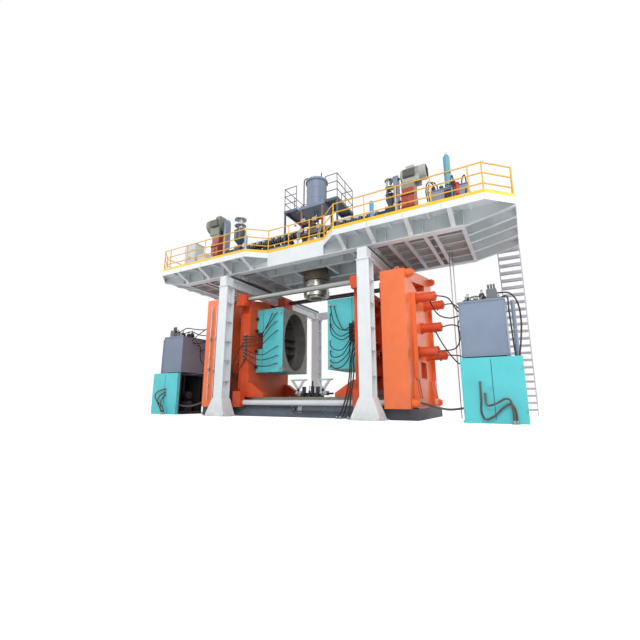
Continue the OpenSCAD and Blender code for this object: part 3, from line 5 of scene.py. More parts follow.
import bmesh
import bpy
from bpy.props import BoolProperty, FloatProperty, FloatVectorProperty, IntProperty, PointerProperty
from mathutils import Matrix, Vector


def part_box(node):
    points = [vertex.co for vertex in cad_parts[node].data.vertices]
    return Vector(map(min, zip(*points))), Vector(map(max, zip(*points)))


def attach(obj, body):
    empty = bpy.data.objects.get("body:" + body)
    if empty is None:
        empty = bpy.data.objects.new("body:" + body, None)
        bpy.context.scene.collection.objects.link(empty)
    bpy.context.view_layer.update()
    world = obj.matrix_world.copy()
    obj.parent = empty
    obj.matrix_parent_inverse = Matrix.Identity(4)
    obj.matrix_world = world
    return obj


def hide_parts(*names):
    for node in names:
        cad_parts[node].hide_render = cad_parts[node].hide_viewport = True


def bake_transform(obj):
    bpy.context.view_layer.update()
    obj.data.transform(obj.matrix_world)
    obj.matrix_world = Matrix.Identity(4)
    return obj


bl_info = {
    "name": "Blow moulding machine",
    "version": (1, 0, 0),
    "blender": (4, 5, 0),
    "location": "View3D > Sidebar > Moulding machine",
    "description": "Paints and fits out a large accumulator-head blow moulding machine",
    "category": "Object",
}

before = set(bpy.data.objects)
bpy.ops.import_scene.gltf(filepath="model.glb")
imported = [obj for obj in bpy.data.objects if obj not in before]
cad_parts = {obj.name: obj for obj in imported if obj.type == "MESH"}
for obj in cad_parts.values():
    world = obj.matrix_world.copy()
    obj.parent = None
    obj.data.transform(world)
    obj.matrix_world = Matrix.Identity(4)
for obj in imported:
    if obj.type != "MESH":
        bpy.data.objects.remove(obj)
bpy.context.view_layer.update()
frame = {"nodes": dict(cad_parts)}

# Directions of the machine's frame: X along the clamp, Y to the back, Z up
RIGHT = Vector((1, 0, 0))
LEFT = -RIGHT
BACK = Vector((0, 1, 0))
FRONT = -BACK
UP = Vector((0, 0, 1))
DOWN = -UP

# Places that several fittings share, in metres
SIDES = ((-1, "left"), (1, "right"))
CYLINDERS = ((-0.77, 4.70), (0.77, 4.70), (0.0, 3.60), (-0.77, 2.53), (0.77, 2.53))
END_FACE = 5.012
MOULD_FRONT = -1.09
BARREL_Z = 9.15
TANK_TOP = 3.97
DECK_TANK_TOP = 8.525

# Camera, worked out from the photograph's vanishing points: film and lens in mm, turns in degrees
FILM = 36.0
LENS = 20.663
CAMERA_PLACE = (8.62, -15.10, 0.73)
CAMERA_TURN = (102.2055, 0.0, 29.167)

# Hoses thinner than this wear the black rubber, the others the brown
THICK_HOSE = 0.058


def linear(code):
    """sRGB hex colour as linear red, green, blue and alpha."""
    parts = [int(code[i:i + 2], 16) / 255 for i in (1, 3, 5)]
    return [c / 12.92 if c <= 0.04045 else ((c + 0.055) / 1.055) ** 2.4 for c in parts] + [1.0]


def add(tree, kind, inputs=None, **settings):
    """Adds a node: inputs holds values and sockets to link, settings the node's own properties."""
    node = tree.nodes.new(kind)
    for name, value in settings.items():
        setattr(node, name, value)
    for key, value in (inputs or {}).items():
        if isinstance(value, bpy.types.NodeSocket):
            tree.links.new(value, node.inputs[key])
        else:
            node.inputs[key].default_value = value
    return node


def blank(owner):
    """Empty node tree of a new material or world."""
    owner.use_nodes = True
    owner.node_tree.nodes.clear()
    return owner.node_tree


def stand(name, data):
    """New object in the scene."""
    piece = bpy.data.objects.new(name, data)
    bpy.context.scene.collection.objects.link(piece)
    return piece


# Sizes and colours that a user would change


def enamel(name, use, code):
    return FloatVectorProperty(name=name, description="Enamel of " + use, subtype="COLOR", size=4, min=0,
                               max=1, default=linear(code))


class PaintColours(bpy.types.PropertyGroup):
    """Colours of the machine's enamels."""

    clamp: enamel("Clamp unit", "end plates, cylinders and platens", "#f57840")
    mould: enamel("Moulds and cabinets", "moulds and cabinets", "#5dd0d6")
    frame: enamel("Columns", "columns and the deck's edge", "#e6eaec")
    deck: enamel("Deck frame", "the beams below the deck", "#d6dddf")
    rails: enamel("Handrails", "the deck's handrails", "#f2b430")
    toe_board: enamel("Toe board", "the deck's toe board", "#fcc408")
    tanks: enamel("Tanks and bed", "tanks, guards and the bed", "#8492a7")


class FittingSizes(bpy.types.PropertyGroup):
    """Sizes of the fittings that repeat over the machine."""

    bolt: FloatProperty(name="Bolt head", description="Width of a large bolt head across its corners",
                        default=0.055, min=0.02, max=0.08, unit="LENGTH")
    hose_sides: IntProperty(name="Hose sides", description="Faces round a hose", default=14, min=8, max=24)
    wear: FloatProperty(name="Wear", description="Strength of dirt, rust and rubbed paint",
                        default=1.0, min=0, max=2, subtype="FACTOR")
    show_floor: BoolProperty(name="Floor", description="Lay the pale floor under the machine", default=True)


def colours():
    return bpy.context.scene.machine_colours


def sizes():
    return bpy.context.scene.machine_sizes


# Mesh building


def wheel(count):
    """Angles of equal steps round a circle."""
    return [2 * pi * k / count for k in range(count)]


def across(axis):
    """Unit vector along an axis and two directions square to it."""
    axis = Vector(axis).normalized()
    side = (UP if abs(axis.z) < 0.9 else BACK).cross(axis).normalized()
    return axis, side, axis.cross(side)


def ring(centre, u, v, radius, count):
    """Points on a circle in the plane of two directions."""
    return [centre + radius * (cos(a) * u + sin(a) * v) for a in wheel(count)]


class Metalwork:
    """Collects blocks, bars, turned pieces and bent plates of one piece in one mesh."""

    def __init__(self):
        self.mesh = bmesh.new()
        self.uv = self.mesh.loops.layers.uv.new("run")

    def loft(self, rings, looped=False):
        """Skin over rings of points, capped at both ends or, when looped, closed on itself."""
        rows = [[self.mesh.verts.new(p) for p in points] for points in rings]
        n = len(rows[0])
        corners = []
        for row, after in zip(rows, rows[1:] + rows[:looped]):
            corners += [(row[k], row[(k + 1) % n], after[(k + 1) % n], after[k]) for k in range(n)]
        if not looped:
            corners += [rows[0][::-1], rows[-1]]
        return [self.mesh.faces.new(c) for c in corners]

    def block(self, start, end, edge=0.0):
        """Rectangular block between two opposite corners, its edges broken by a chamfer."""
        xs, ys, zs = (sorted(pair) for pair in zip(start, end))
        outline = [(xs[0], ys[0]), (xs[1], ys[0]), (xs[1], ys[1]), (xs[0], ys[1])]
        made = self.loft([[(x, y, z) for x, y in outline] for z in zs])
        if edge:
            lines = list(dict.fromkeys(e for f in made for e in f.edges))
            bmesh.ops.bevel(self.mesh, geom=lines, offset=edge, segments=1, affect="EDGES")

    def turned(self, centre, axis, profile, sides=24, bore=None):
        """Round piece: profile lists (distance along the axis, radius); a bore makes it a ring."""
        if bore:
            profile = [(profile[0][0], bore)] + profile + [(profile[-1][0], bore)]
        axis, u, v = across(axis)
        centre = Vector(centre)
        rings = [ring(centre + along * axis, u, v, radius, sides) for along, radius in profile]
        self.loft(rings, bool(bore))

    def bar(self, start, end, radius, sides=16, edge=0.0):
        """Round bar with broken edges from one point to another."""
        axis = Vector(end) - Vector(start)
        long = axis.length
        profile = [(0, radius), (long, radius)]
        if edge:
            profile = [(0, radius - edge), (edge, radius), (long - edge, radius), (long, radius - edge)]
        self.turned(start, axis, profile, sides)

    def plate(self, outline, shift):
        """Flat plate: an outline in space, given a thickness by a shift."""
        self.loft([outline, [Vector(p) + Vector(shift) for p in outline]])

    def pipe(self, path, radius, sides=12):
        """Bent pipe through points; run and girth go into the UV map in metres."""
        path = [Vector(p) for p in path]
        last = len(path) - 1
        heads = [(path[min(i + 1, last)] - path[max(i - 1, 0)]).normalized() for i in range(last + 1)]
        side = across(heads[0])[1]
        rings = []
        run = [0.0]
        for i, (place, head) in enumerate(zip(path, heads)):
            side = (side - side.dot(head) * head).normalized()
            rings.append(ring(place, side, head.cross(side), radius, sides))
            if i:
                run.append(run[-1] + (place - path[i - 1]).length)
        made = self.loft(rings)
        for j, f in enumerate(made[:last * sides]):
            i, k = divmod(j, sides)
            for loop, (di, dk) in zip(f.loops, ((0, 0), (0, 1), (1, 1), (1, 0))):
                loop[self.uv].uv = (run[i + di], 2 * pi * radius * (k + dk) / sides)

    def eye(self, centre, radius, thick):
        """Lifting eye of round bar, standing across Y."""
        x, y, z = centre
        self.pipe([(x + radius * cos(a), y, z + radius * sin(a)) for a in wheel(14) + [2 * pi]], thick, 8)

    def finish(self, name, coat, slot, body="frame"):
        """Turns what was collected into one object that rides on a body."""
        bmesh.ops.recalc_face_normals(self.mesh, faces=self.mesh.faces)
        data = bpy.data.meshes.new(name)
        self.mesh.to_mesh(data)
        self.mesh.free()
        data.materials.append(FINISH[coat])
        data.shade_smooth()
        data.set_sharp_from_angle(angle=radians(38))
        piece = stand(name, data)
        if body:
            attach(piece, body)
        return piece


# Materials


def rgba(colour):
    """Colour from a hex code or from a user's setting."""
    return linear(colour) if isinstance(colour, str) else tuple(colour)


def dimmed(colour, *shares):
    """Colour with its channels taken down by one share or by three."""
    return [v * k for v, k in zip(colour, shares * (3 // len(shares)))] + [1.0]


def box_mask(tree, place, low, high):
    """1 inside a box of the machine's frame, 0 outside it."""
    centre = [(a + b) / 2 for a, b in zip(low, high)]
    half = [(b - a) / 2 for a, b in zip(low, high)]
    moved = add(tree, "ShaderNodeMapping", {"Location": centre, "Scale": half, "Vector": place},
                vector_type="TEXTURE")
    size = add(tree, "ShaderNodeVectorMath", {0: moved.outputs[0]}, operation="ABSOLUTE")
    x, y, z = add(tree, "ShaderNodeSeparateXYZ", {0: size.outputs[0]}).outputs
    wide = add(tree, "ShaderNodeMath", {0: x, 1: y}, operation="MAXIMUM")
    most = add(tree, "ShaderNodeMath", {0: wide.outputs[0], 1: z}, operation="MAXIMUM")
    return add(tree, "ShaderNodeMath", {0: most.outputs[0], 1: 1.0}, operation="LESS_THAN").outputs[0]


def surface(name, colour, rough=0.45, metal=0.0, shade=0.10, streak=0.0, streak_hex="#9a6a48",
            dirt=0.0, dirt_hex="#5e574f", dirt_top=1.4, grain=0.0, brushed=None, zones=(), coat=0.0,
            chips=0.0, chip_hex="#6d6a66"):
    """One finish on Object coordinates in metres.

    shade varies the colour in clouds about a metre across, streak draws runs of rust down the
    walls, dirt gathers towards the floor, chips lay bare the metal, grain lifts the surface,
    and zones give boxes of the piece another colour, metal and roughness.
    """
    material = bpy.data.materials.new(name)
    tree = blank(material)
    wear = sizes().wear
    place = add(tree, "ShaderNodeTexCoord").outputs["Object"]
    tint = add(tree, "ShaderNodeRGB").outputs[0]
    tint.default_value = rgba(colour)
    metallic = metal
    roughness = rough
    for low, high, code, zone_metal, zone_rough in zones:
        mask = box_mask(tree, place, low, high)
        tint = add(tree, "ShaderNodeMix", {0: mask, 6: tint, 7: rgba(code)}, data_type="RGBA").outputs[2]
        metallic = add(tree, "ShaderNodeMix", {0: mask, 2: metallic, 3: zone_metal}).outputs[0]
        roughness = add(tree, "ShaderNodeMix", {0: mask, 2: roughness, 3: zone_rough}).outputs[0]
    cloud = add(tree, "ShaderNodeTexNoise", {"Scale": 1.3, "Detail": 5.0, "Roughness": 0.6,
                                             "Vector": place}).outputs[0]
    level = add(tree, "ShaderNodeMapRange", {0: cloud, 1: 0.3, 2: 0.7, 3: 1 - shade, 4: 1 + 0.5 * shade})
    tint = add(tree, "ShaderNodeVectorMath", {0: tint, 1: level.outputs[0]},
               operation="MULTIPLY").outputs[0]
    # Each layer is a mask and the colour that it lays over the one below
    layers = []
    if streak:
        drawn = add(tree, "ShaderNodeMapping", {"Scale": (5.0, 5.0, 0.45), "Vector": place})
        runs = add(tree, "ShaderNodeTexNoise", {"Scale": 1.0, "Detail": 4.0, "Roughness": 0.65,
                                                "Vector": drawn.outputs[0]})
        layers.append((add(tree, "ShaderNodeMapRange", {0: runs.outputs[0], 1: 0.56, 2: 0.74, 3: 0.0,
                                                        4: streak * wear}), streak_hex))
    if dirt:
        height = add(tree, "ShaderNodeSeparateXYZ", {0: place})
        low = add(tree, "ShaderNodeMapRange", {0: height.outputs[2], 1: 0.0, 2: dirt_top,
                                               3: dirt * wear, 4: 0.0})
        specks = add(tree, "ShaderNodeTexNoise", {"Scale": 3.0, "Detail": 6.0, "Roughness": 0.7,
                                                  "Vector": place})
        dust = add(tree, "ShaderNodeMapRange", {0: specks.outputs[0], 1: 0.35, 2: 0.7, 3: 0.2, 4: 1.4})
        layers.append((add(tree, "ShaderNodeMath", {0: low.outputs[0], 1: dust.outputs[0]},
                           operation="MULTIPLY", use_clamp=True), dirt_hex))
    if chips:
        spots = add(tree, "ShaderNodeTexNoise", {"Scale": 9.0, "Detail": 8.0, "Roughness": 0.75,
                                                 "Vector": place})
        layers.append((add(tree, "ShaderNodeMapRange", {0: spots.outputs[0], 1: 0.66, 2: 0.70, 3: 0.0,
                                                        4: chips * wear}), chip_hex))
    for mask, code in layers:
        tint = add(tree, "ShaderNodeMix", {0: mask.outputs[0], 6: tint, 7: linear(code)},
                   data_type="RGBA").outputs[2]
    relief = cloud
    reach = 0.004
    strength = 0.25
    if brushed:
        lines = add(tree, "ShaderNodeMapping", {"Scale": brushed, "Vector": place})
        relief = add(tree, "ShaderNodeTexNoise", {"Scale": 1.0, "Detail": 3.0,
                                                  "Vector": lines.outputs[0]}).outputs[0]
        reach = 0.001
        strength = 0.35
    elif grain:
        relief = add(tree, "ShaderNodeTexNoise", {"Scale": 60.0, "Detail": 3.0,
                                                  "Vector": place}).outputs[0]
        reach = grain
        strength = 0.5
    bump = add(tree, "ShaderNodeBump", {"Strength": strength, "Distance": reach, "Height": relief})
    uneven = add(tree, "ShaderNodeMapRange", {0: cloud, 1: 0.25, 2: 0.75, 3: -0.07, 4: 0.09})
    matt = add(tree, "ShaderNodeMath", {0: uneven.outputs[0], 1: roughness}, operation="ADD",
               use_clamp=True)
    shader = add(tree, "ShaderNodeBsdfPrincipled", {
        "Base Color": tint, "Metallic": metallic, "Coat Weight": coat, "Coat Roughness": 0.2,
        "Roughness": matt.outputs[0], "Normal": bump.outputs[0]})
    add(tree, "ShaderNodeOutputMaterial", {0: shader.outputs[0]})
    return material


def mould_coat(name):
    """Mould half: turquoise enamel outside, milled and rusted cast aluminium at the parting face."""
    coat = surface("mould_enamel_" + name, colours().mould, rough=0.42, shade=0.07, grain=0.002)
    tree = coat.node_tree
    shader = next(n for n in tree.nodes if n.type == "BSDF_PRINCIPLED")
    painted = shader.inputs["Base Color"].links[0].from_socket
    place = add(tree, "ShaderNodeTexCoord").outputs["Object"]
    x = add(tree, "ShaderNodeSeparateXYZ", {0: place}).outputs[0]
    depth = add(tree, "ShaderNodeMath", {0: x}, operation="ABSOLUTE").outputs[0]
    low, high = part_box("mould_half_" + name)
    near, far = sorted((abs(low[0]), abs(high[0])))
    # The cavity is an oval well; its walls and floor lie before the mould's back plate
    oval = add(tree, "ShaderNodeMapping", {"Location": (0, 0, (low[2] + high[2]) / 2 - 0.03),
                                           "Scale": (1000.0, 0.956, 1.416), "Vector": place},
               vector_type="TEXTURE")
    reach = add(tree, "ShaderNodeVectorMath", {0: oval.outputs[0]}, operation="LENGTH").outputs["Value"]
    front, oval_well, before_plate = (
        add(tree, "ShaderNodeMath", {0: value, 1: limit}, operation="LESS_THAN").outputs[0]
        for value, limit in ((depth, near + 0.003), (reach, 1.0), (depth, far - 0.3)))
    cavity = add(tree, "ShaderNodeMath", {0: oval_well, 1: before_plate}, operation="MULTIPLY")
    bare = add(tree, "ShaderNodeMath", {0: front, 1: cavity.outputs[0]}, operation="MAXIMUM").outputs[0]
    rust = add(tree, "ShaderNodeTexNoise", {"Scale": 2.2, "Detail": 7.0, "Roughness": 0.7,
                                            "Vector": place})
    ramp = add(tree, "ShaderNodeValToRGB", {0: rust.outputs[0]})
    for stop, at, code in zip(ramp.color_ramp.elements, (0.38, 0.72), ("#8c8f8e", "#7d6a58")):
        stop.position = at
        stop.color = linear(code)
    tint = add(tree, "ShaderNodeMix", {0: bare, 6: painted, 7: ramp.outputs[0]}, data_type="RGBA")
    metal = add(tree, "ShaderNodeMath", {0: bare, 1: 0.55}, operation="MULTIPLY")
    tree.links.new(tint.outputs[2], shader.inputs["Base Color"])
    tree.links.new(metal.outputs[0], shader.inputs["Metallic"])
    return coat


def hose_rubber(name, code, band_code, pitch):
    """Hydraulic hose: extruded rubber over wire braid, matt, with the wrap's lay faintly showing.

    pitch is the lay of the wrap in metres, drawn coarser than the real 8 mm so that it shows.
    """
    material = bpy.data.materials.new(name)
    tree = blank(material)
    run = add(tree, "ShaderNodeUVMap", uv_map="run").outputs[0]
    turned = add(tree, "ShaderNodeMapping", {"Rotation": (0, 0, radians(35)),
                                             "Scale": (1 / pitch, 1 / pitch, 1), "Vector": run})
    lay = add(tree, "ShaderNodeTexWave", {"Scale": 1.0, "Distortion": 0.6, "Detail": 1.0,
                                          "Vector": turned.outputs[0]})
    place = add(tree, "ShaderNodeTexCoord").outputs["Object"]
    specks = add(tree, "ShaderNodeTexNoise", {"Scale": 4.0, "Detail": 5.0, "Vector": place})
    dust = add(tree, "ShaderNodeMapRange", {0: specks.outputs[0], 1: 0.3, 2: 0.75, 3: 0.0, 4: 0.75})
    tint = add(tree, "ShaderNodeMix", {0: dust.outputs[0], 6: linear(code), 7: linear(band_code)},
               data_type="RGBA")
    bump = add(tree, "ShaderNodeBump", {"Strength": 0.4, "Distance": 0.002, "Height": lay.outputs[1]})
    shader = add(tree, "ShaderNodeBsdfPrincipled", {
        "Roughness": 0.55, "Base Color": tint.outputs[2], "Normal": bump.outputs[0]})
    add(tree, "ShaderNodeOutputMaterial", {0: shader.outputs[0]})
    return material


FINISH = {}


def make_finishes():
    """Every finish of the machine, made once and kept by name."""
    c = colours()

    def coat(key, name, colour, rough=0.45, shade=0.10, **look):
        FINISH[key] = surface(name, colour, rough=rough, shade=shade, **look)

    # Enamel sprayed on welded plate: smooth, half gloss, slightly uneven
    coat("orange", "orange_enamel_on_plate", c.clamp, 0.36, 0.08, grain=0.0015, coat=0.25,
         dirt=0.25, dirt_top=1.2, dirt_hex="#6b3a26", streak=0.10, streak_hex="#a83c18")
    # The same enamel in the machine's hot middle, dulled by oil mist; its colour is taken down in every
    # channel as painted shade
    coat("platen", "orange_enamel_oily_with_painted_shade", dimmed(c.clamp, 0.84, 0.48, 0.40), 0.45, 0.18, grain=0.002,
         dirt=0.45, dirt_top=1.6, dirt_hex="#4a2a20", streak=0.22, streak_hex="#7c2c14", chips=0.15)
    # Glossier on turned cylinders, and darker as painted shade
    coat("cylinder", "orange_enamel_with_painted_shade_on_cylinders", dimmed(c.clamp, 0.88, 0.56, 0.48), 0.33, 0.08,
         coat=0.3, grain=0.001)
    # Brushed white enamel on the columns, with rust bleeding from the welds
    coat("white", "white_enamel_on_columns", c.frame, 0.42, 0.06, streak=0.10, streak_hex="#b59a84",
         dirt=0.35, dirt_top=0.9, dirt_hex="#8d8378", grain=0.0015)
    # The beams that carry the deck are rubbed and rusty
    coat("beam", "white_enamel_on_cross_beams", c.frame, 0.5, 0.10, streak=0.42,
         streak_hex="#9c7460", chips=0.25, chip_hex="#8a6350", grain=0.002)
    # Greyer enamel below the deck and clean white at its edge
    coat("deck", "grey_enamel_on_deck_beams", c.deck, 0.48, 0.12, streak=0.12, streak_hex="#8f8a84",
         grain=0.002)
    coat("fascia", "white_enamel_on_deck_edge", c.frame, 0.40, 0.05, streak=0.08,
         streak_hex="#b9b2a8", grain=0.001)
    coat("beam_pale", "white_enamel_on_flanges", c.frame, 0.45, 0.08, streak=0.1,
         streak_hex="#a89a90")
    # Brownish primer on the flanges that hang below the deck
    coat("flange", "primer_on_flanges", "#c4bdba", 0.5, 0.12, grain=0.001)
    # Bright yellow safety enamel, rubbed where hands reach
    coat("toe", "yellow_enamel_on_toe_board", c.toe_board, 0.38, 0.05)
    coat("rails", "yellow_enamel_on_tube", c.rails, 0.36, 0.08, chips=0.2, chip_hex="#8f7d5a")
    # Rough castings near the floor, dusty and chipped
    coat("bed", "blue_grey_enamel_on_castings", dimmed(c.tanks, 0.58), 0.5, 0.16, dirt=0.5,
         dirt_top=0.5, dirt_hex="#4c4540", streak=0.3, streak_hex="#6d6258", grain=0.003, chips=0.2)
    coat("bases", "dark_enamel_on_blocks", "#4a4e58", 0.5, 0.16, dirt=0.5, dirt_top=0.5,
         dirt_hex="#3a3632", grain=0.003, chips=0.25)
    # Smooth blue-grey sheet
    coat("guard", "blue_grey_enamel_on_guards", c.tanks, 0.38, 0.08, grain=0.001, coat=0.15)
    coat("inject", "grey_enamel_on_cylinder", dimmed(c.tanks, 0.92), 0.38, 0.08, grain=0.001,
         streak=0.08, streak_hex="#5c6270")
    # Dull greys of walkways and cabinets
    coat("platform", "dark_grey_enamel_on_platforms", "#59616e", 0.46, 0.12, grain=0.002)
    coat("ladder", "light_grey_enamel_on_ladder", "#d2d8dc", 0.45, 0.10, grain=0.001)
    coat("cabinet", "light_grey_powder_coat", "#c9cdcd", 0.45, 0.05, grain=0.001)
    # Ground and oiled guide ways with yellowish-brown runs
    coat("ways", "ground_steel_ways", "#8d8b80", 0.36, 0.25, metal=0.8, streak=0.25,
         streak_hex="#75653a", brushed=(3.0, 160.0, 160.0))
    # Mirror-like rods
    coat("chrome", "hard_chrome_rod", "#c9cbcc", 0.16, 0.04, metal=1.0)
    # Turned alloy steel, cut marks round the piece
    coat("steel", "turned_steel", "#b3b1ab", 0.30, 0.14, metal=1.0, brushed=(2.0, 2.0, 260.0))
    # Dark, oily iron of racks and pulleys
    coat("rack", "oiled_cast_iron", "#4b4844", 0.5, 0.2, metal=0.6, grain=0.003)
    # Black paint, and black oxide with a faint metal sheen
    coat("dark", "black_enamel", "#2a2b2e", 0.42, 0.12, grain=0.002)
    coat("black", "black_oxide_steel", "#1d1e20", 0.38, 0.12, metal=0.4)
    # Rough castings of the gear cases and motors
    coat("red", "red_enamel_on_castings", "#b4432f", 0.42, 0.14, grain=0.004, streak=0.12,
         streak_hex="#5c241e")
    coat("motor_left", "beige_enamel_on_motor", "#84877a", 0.45, 0.12, grain=0.003)
    coat("motor_right", "pale_enamel_on_motor", "#b4b5ab", 0.42, 0.10, grain=0.003)
    coat("terminal", "grey_enamel_on_terminal_boxes", "#54554f", 0.45, 0.08)
    # Spangled zinc on pipes and arms, and zinc-plated bolts dulled by oil
    coat("galvanised", "galvanised_pipe", "#a9acad", 0.38, 0.2, metal=0.9, grain=0.001)
    coat("spreader", "galvanised_arms", "#c9ced0", 0.4, 0.1, metal=0.3, grain=0.001)
    coat("bolt", "zinc_plated_bolts", "#8f9193", 0.35, 0.15, metal=0.85)
    # Heater bands browned by heat, with lines along the band
    coat("heat", "heater_band_steel", "#a39c92", 0.34, 0.2, metal=0.9, streak=0.2,
         streak_hex="#6b5a4a", brushed=(200.0, 3.0, 3.0))
    # Cast and blasted aluminium on the cavity's floor
    coat("cast_mould", "blasted_aluminium", "#5f6160", 0.55, 0.25, metal=0.5, grain=0.003)
    # Glossy plastic of knobs and levers
    coat("red_plastic", "red_moulded_knobs", "#c01f2a", 0.35, 0.03)
    FINISH["fine_rubber"] = hose_rubber("black_hose_rubber", "#141516", "#2c2b2a", 0.05)
    FINISH["thick_rubber"] = hose_rubber("brown_hose_rubber", "#4b443e", "#6d6358", 0.06)


# Geometry Nodes: what repeats


def new_tree(name, result, **sockets):
    """Node tree with named inputs and one geometry output; returns it with its inputs' sockets."""
    tree = bpy.data.node_groups.new(name, "GeometryNodeTree")
    for label, kind in sockets.items():
        tree.interface.new_socket(name=label, in_out="INPUT", socket_type="NodeSocket" + kind)
    tree.interface.new_socket(name=result, in_out="OUTPUT", socket_type="NodeSocketGeometry")
    return tree, add(tree, "NodeGroupInput").outputs


def close_tree(tree, spread, steel):
    """Ends a tree in real geometry with its finish."""
    real = add(tree, "GeometryNodeRealizeInstances", {0: spread.outputs[0]})
    coated = add(tree, "GeometryNodeSetMaterial", {"Geometry": real.outputs[0], "Material": steel})
    add(tree, "NodeGroupOutput", {0: coated.outputs[0]})
    return tree


def bolt_tree():
    """Hex bolt with its washer on every point, standing along the point's own axis."""
    tree, given = new_tree("hex_bolts", "Bolts", Points="Geometry", Head="Float", Steel="Material")
    both = add(tree, "GeometryNodeJoinGeometry")
    # Shares of the head's width: radius and height of head and washer
    half, rise, wide, thin, lift = (
        add(tree, "ShaderNodeMath", {0: given["Head"], 1: k}, operation="MULTIPLY").outputs[0]
        for k in (0.5, 0.62, 0.68, 0.16, 0.42))
    head = add(tree, "GeometryNodeMeshCylinder", {"Vertices": 6, "Radius": half, "Depth": rise})
    washer = add(tree, "GeometryNodeMeshCylinder", {"Vertices": 12, "Radius": wide, "Depth": thin})
    up = add(tree, "ShaderNodeCombineXYZ", {2: lift})
    raised = add(tree, "GeometryNodeTransform", {"Geometry": head.outputs[0],
                                                 "Translation": up.outputs[0]})
    for part in (raised, washer):
        tree.links.new(part.outputs[0], both.inputs[0])
    axis = add(tree, "GeometryNodeInputNamedAttribute", {"Name": "axis"}, data_type="FLOAT_VECTOR")
    turn = add(tree, "FunctionNodeAlignRotationToVector", {"Vector": axis.outputs[0]}, axis="Z")
    size = add(tree, "GeometryNodeInputNamedAttribute", {"Name": "size"}, data_type="FLOAT")
    spread = add(tree, "GeometryNodeInstanceOnPoints", {
        "Points": given["Points"], "Instance": both.outputs[0], "Rotation": turn.outputs[0],
        "Scale": size.outputs[0]})
    return close_tree(tree, spread, given["Steel"])


def slat_tree():
    """Row of equal slats: louvres, slots and treads."""
    tree, given = new_tree("row_of_slats", "Slats", Count="Int", Start="Vector", Step="Vector",
                           Slat="Vector", Steel="Material")
    line = add(tree, "GeometryNodeMeshLine", {"Count": given["Count"], "Start Location": given["Start"],
                                              "Offset": given["Step"]}, mode="OFFSET")
    slat = add(tree, "GeometryNodeMeshCube", {"Size": given["Slat"]})
    spread = add(tree, "GeometryNodeInstanceOnPoints", {"Points": line.outputs[0],
                                                        "Instance": slat.outputs[0]})
    return close_tree(tree, spread, given["Steel"])


def fin_tree():
    """Cooling fins that stand round a shaft along X."""
    tree, given = new_tree("ring_of_fins", "Fins", Count="Int", Radius="Float", Fin="Vector",
                           Centre="Vector", Steel="Material")
    hoop = add(tree, "GeometryNodeMeshCircle", {"Vertices": given["Count"], "Radius": given["Radius"]})
    place = add(tree, "GeometryNodeInputPosition")
    turn = add(tree, "FunctionNodeAlignRotationToVector", {"Vector": place.outputs[0]}, axis="X")
    fin = add(tree, "GeometryNodeMeshCube", {"Size": given["Fin"]})
    spread = add(tree, "GeometryNodeInstanceOnPoints", {
        "Points": hoop.outputs[0], "Instance": fin.outputs[0], "Rotation": turn.outputs[0]})
    stood = add(tree, "GeometryNodeTransform", {
        "Rotation": (0, radians(90), 0), "Geometry": spread.outputs[0], "Translation": given["Centre"]})
    return close_tree(tree, stood, given["Steel"])


TREES = {}


def grow(tree, name, inputs, points=()):
    """Runs a tree once and keeps its result as a plain mesh on the machine's frame."""
    data = bpy.data.meshes.new(name)
    data.from_pydata([p[0] for p in points], [], [])
    if points:
        axis = data.attributes.new("axis", "FLOAT_VECTOR", "POINT")
        axis.data.foreach_set("vector", [v for p in points for v in p[1]])
        size = data.attributes.new("size", "FLOAT", "POINT")
        size.data.foreach_set("value", [p[2] for p in points])
    seed = stand(name + "_seed", data)
    nodes = seed.modifiers.new("nodes", "NODES")
    nodes.node_group = TREES[tree]
    for socket in nodes.node_group.interface.items_tree:
        if socket.in_out == "INPUT" and socket.name in inputs:
            nodes[socket.identifier] = inputs[socket.name]
    bpy.context.view_layer.update()
    shape = bpy.data.meshes.new_from_object(seed.evaluated_get(bpy.context.evaluated_depsgraph_get()))
    bpy.data.objects.remove(seed)
    shape.name = name
    if not shape.polygons:
        raise RuntimeError("%s came out empty" % name)
    piece = stand(name, shape)
    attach(piece, "frame")


def bolts(name, points, finish="bolt"):
    """Bolts at (place, axis, share of the large head)."""
    grow("bolt", name, {"Head": sizes().bolt, "Steel": FINISH[finish]}, points)


def slats(name, count, start, step, slat, finish="black"):
    grow("slat", name, {"Count": count, "Start": start, "Step": step, "Slat": slat,
                        "Steel": FINISH[finish]})


def circle(centre, axis, radius, count, size):
    """Bolt places on a circle."""
    axis, u, v = across(axis)
    return [(place, axis, size) for place in ring(Vector(centre), u, v, radius, count)]


# Camera, light and floor


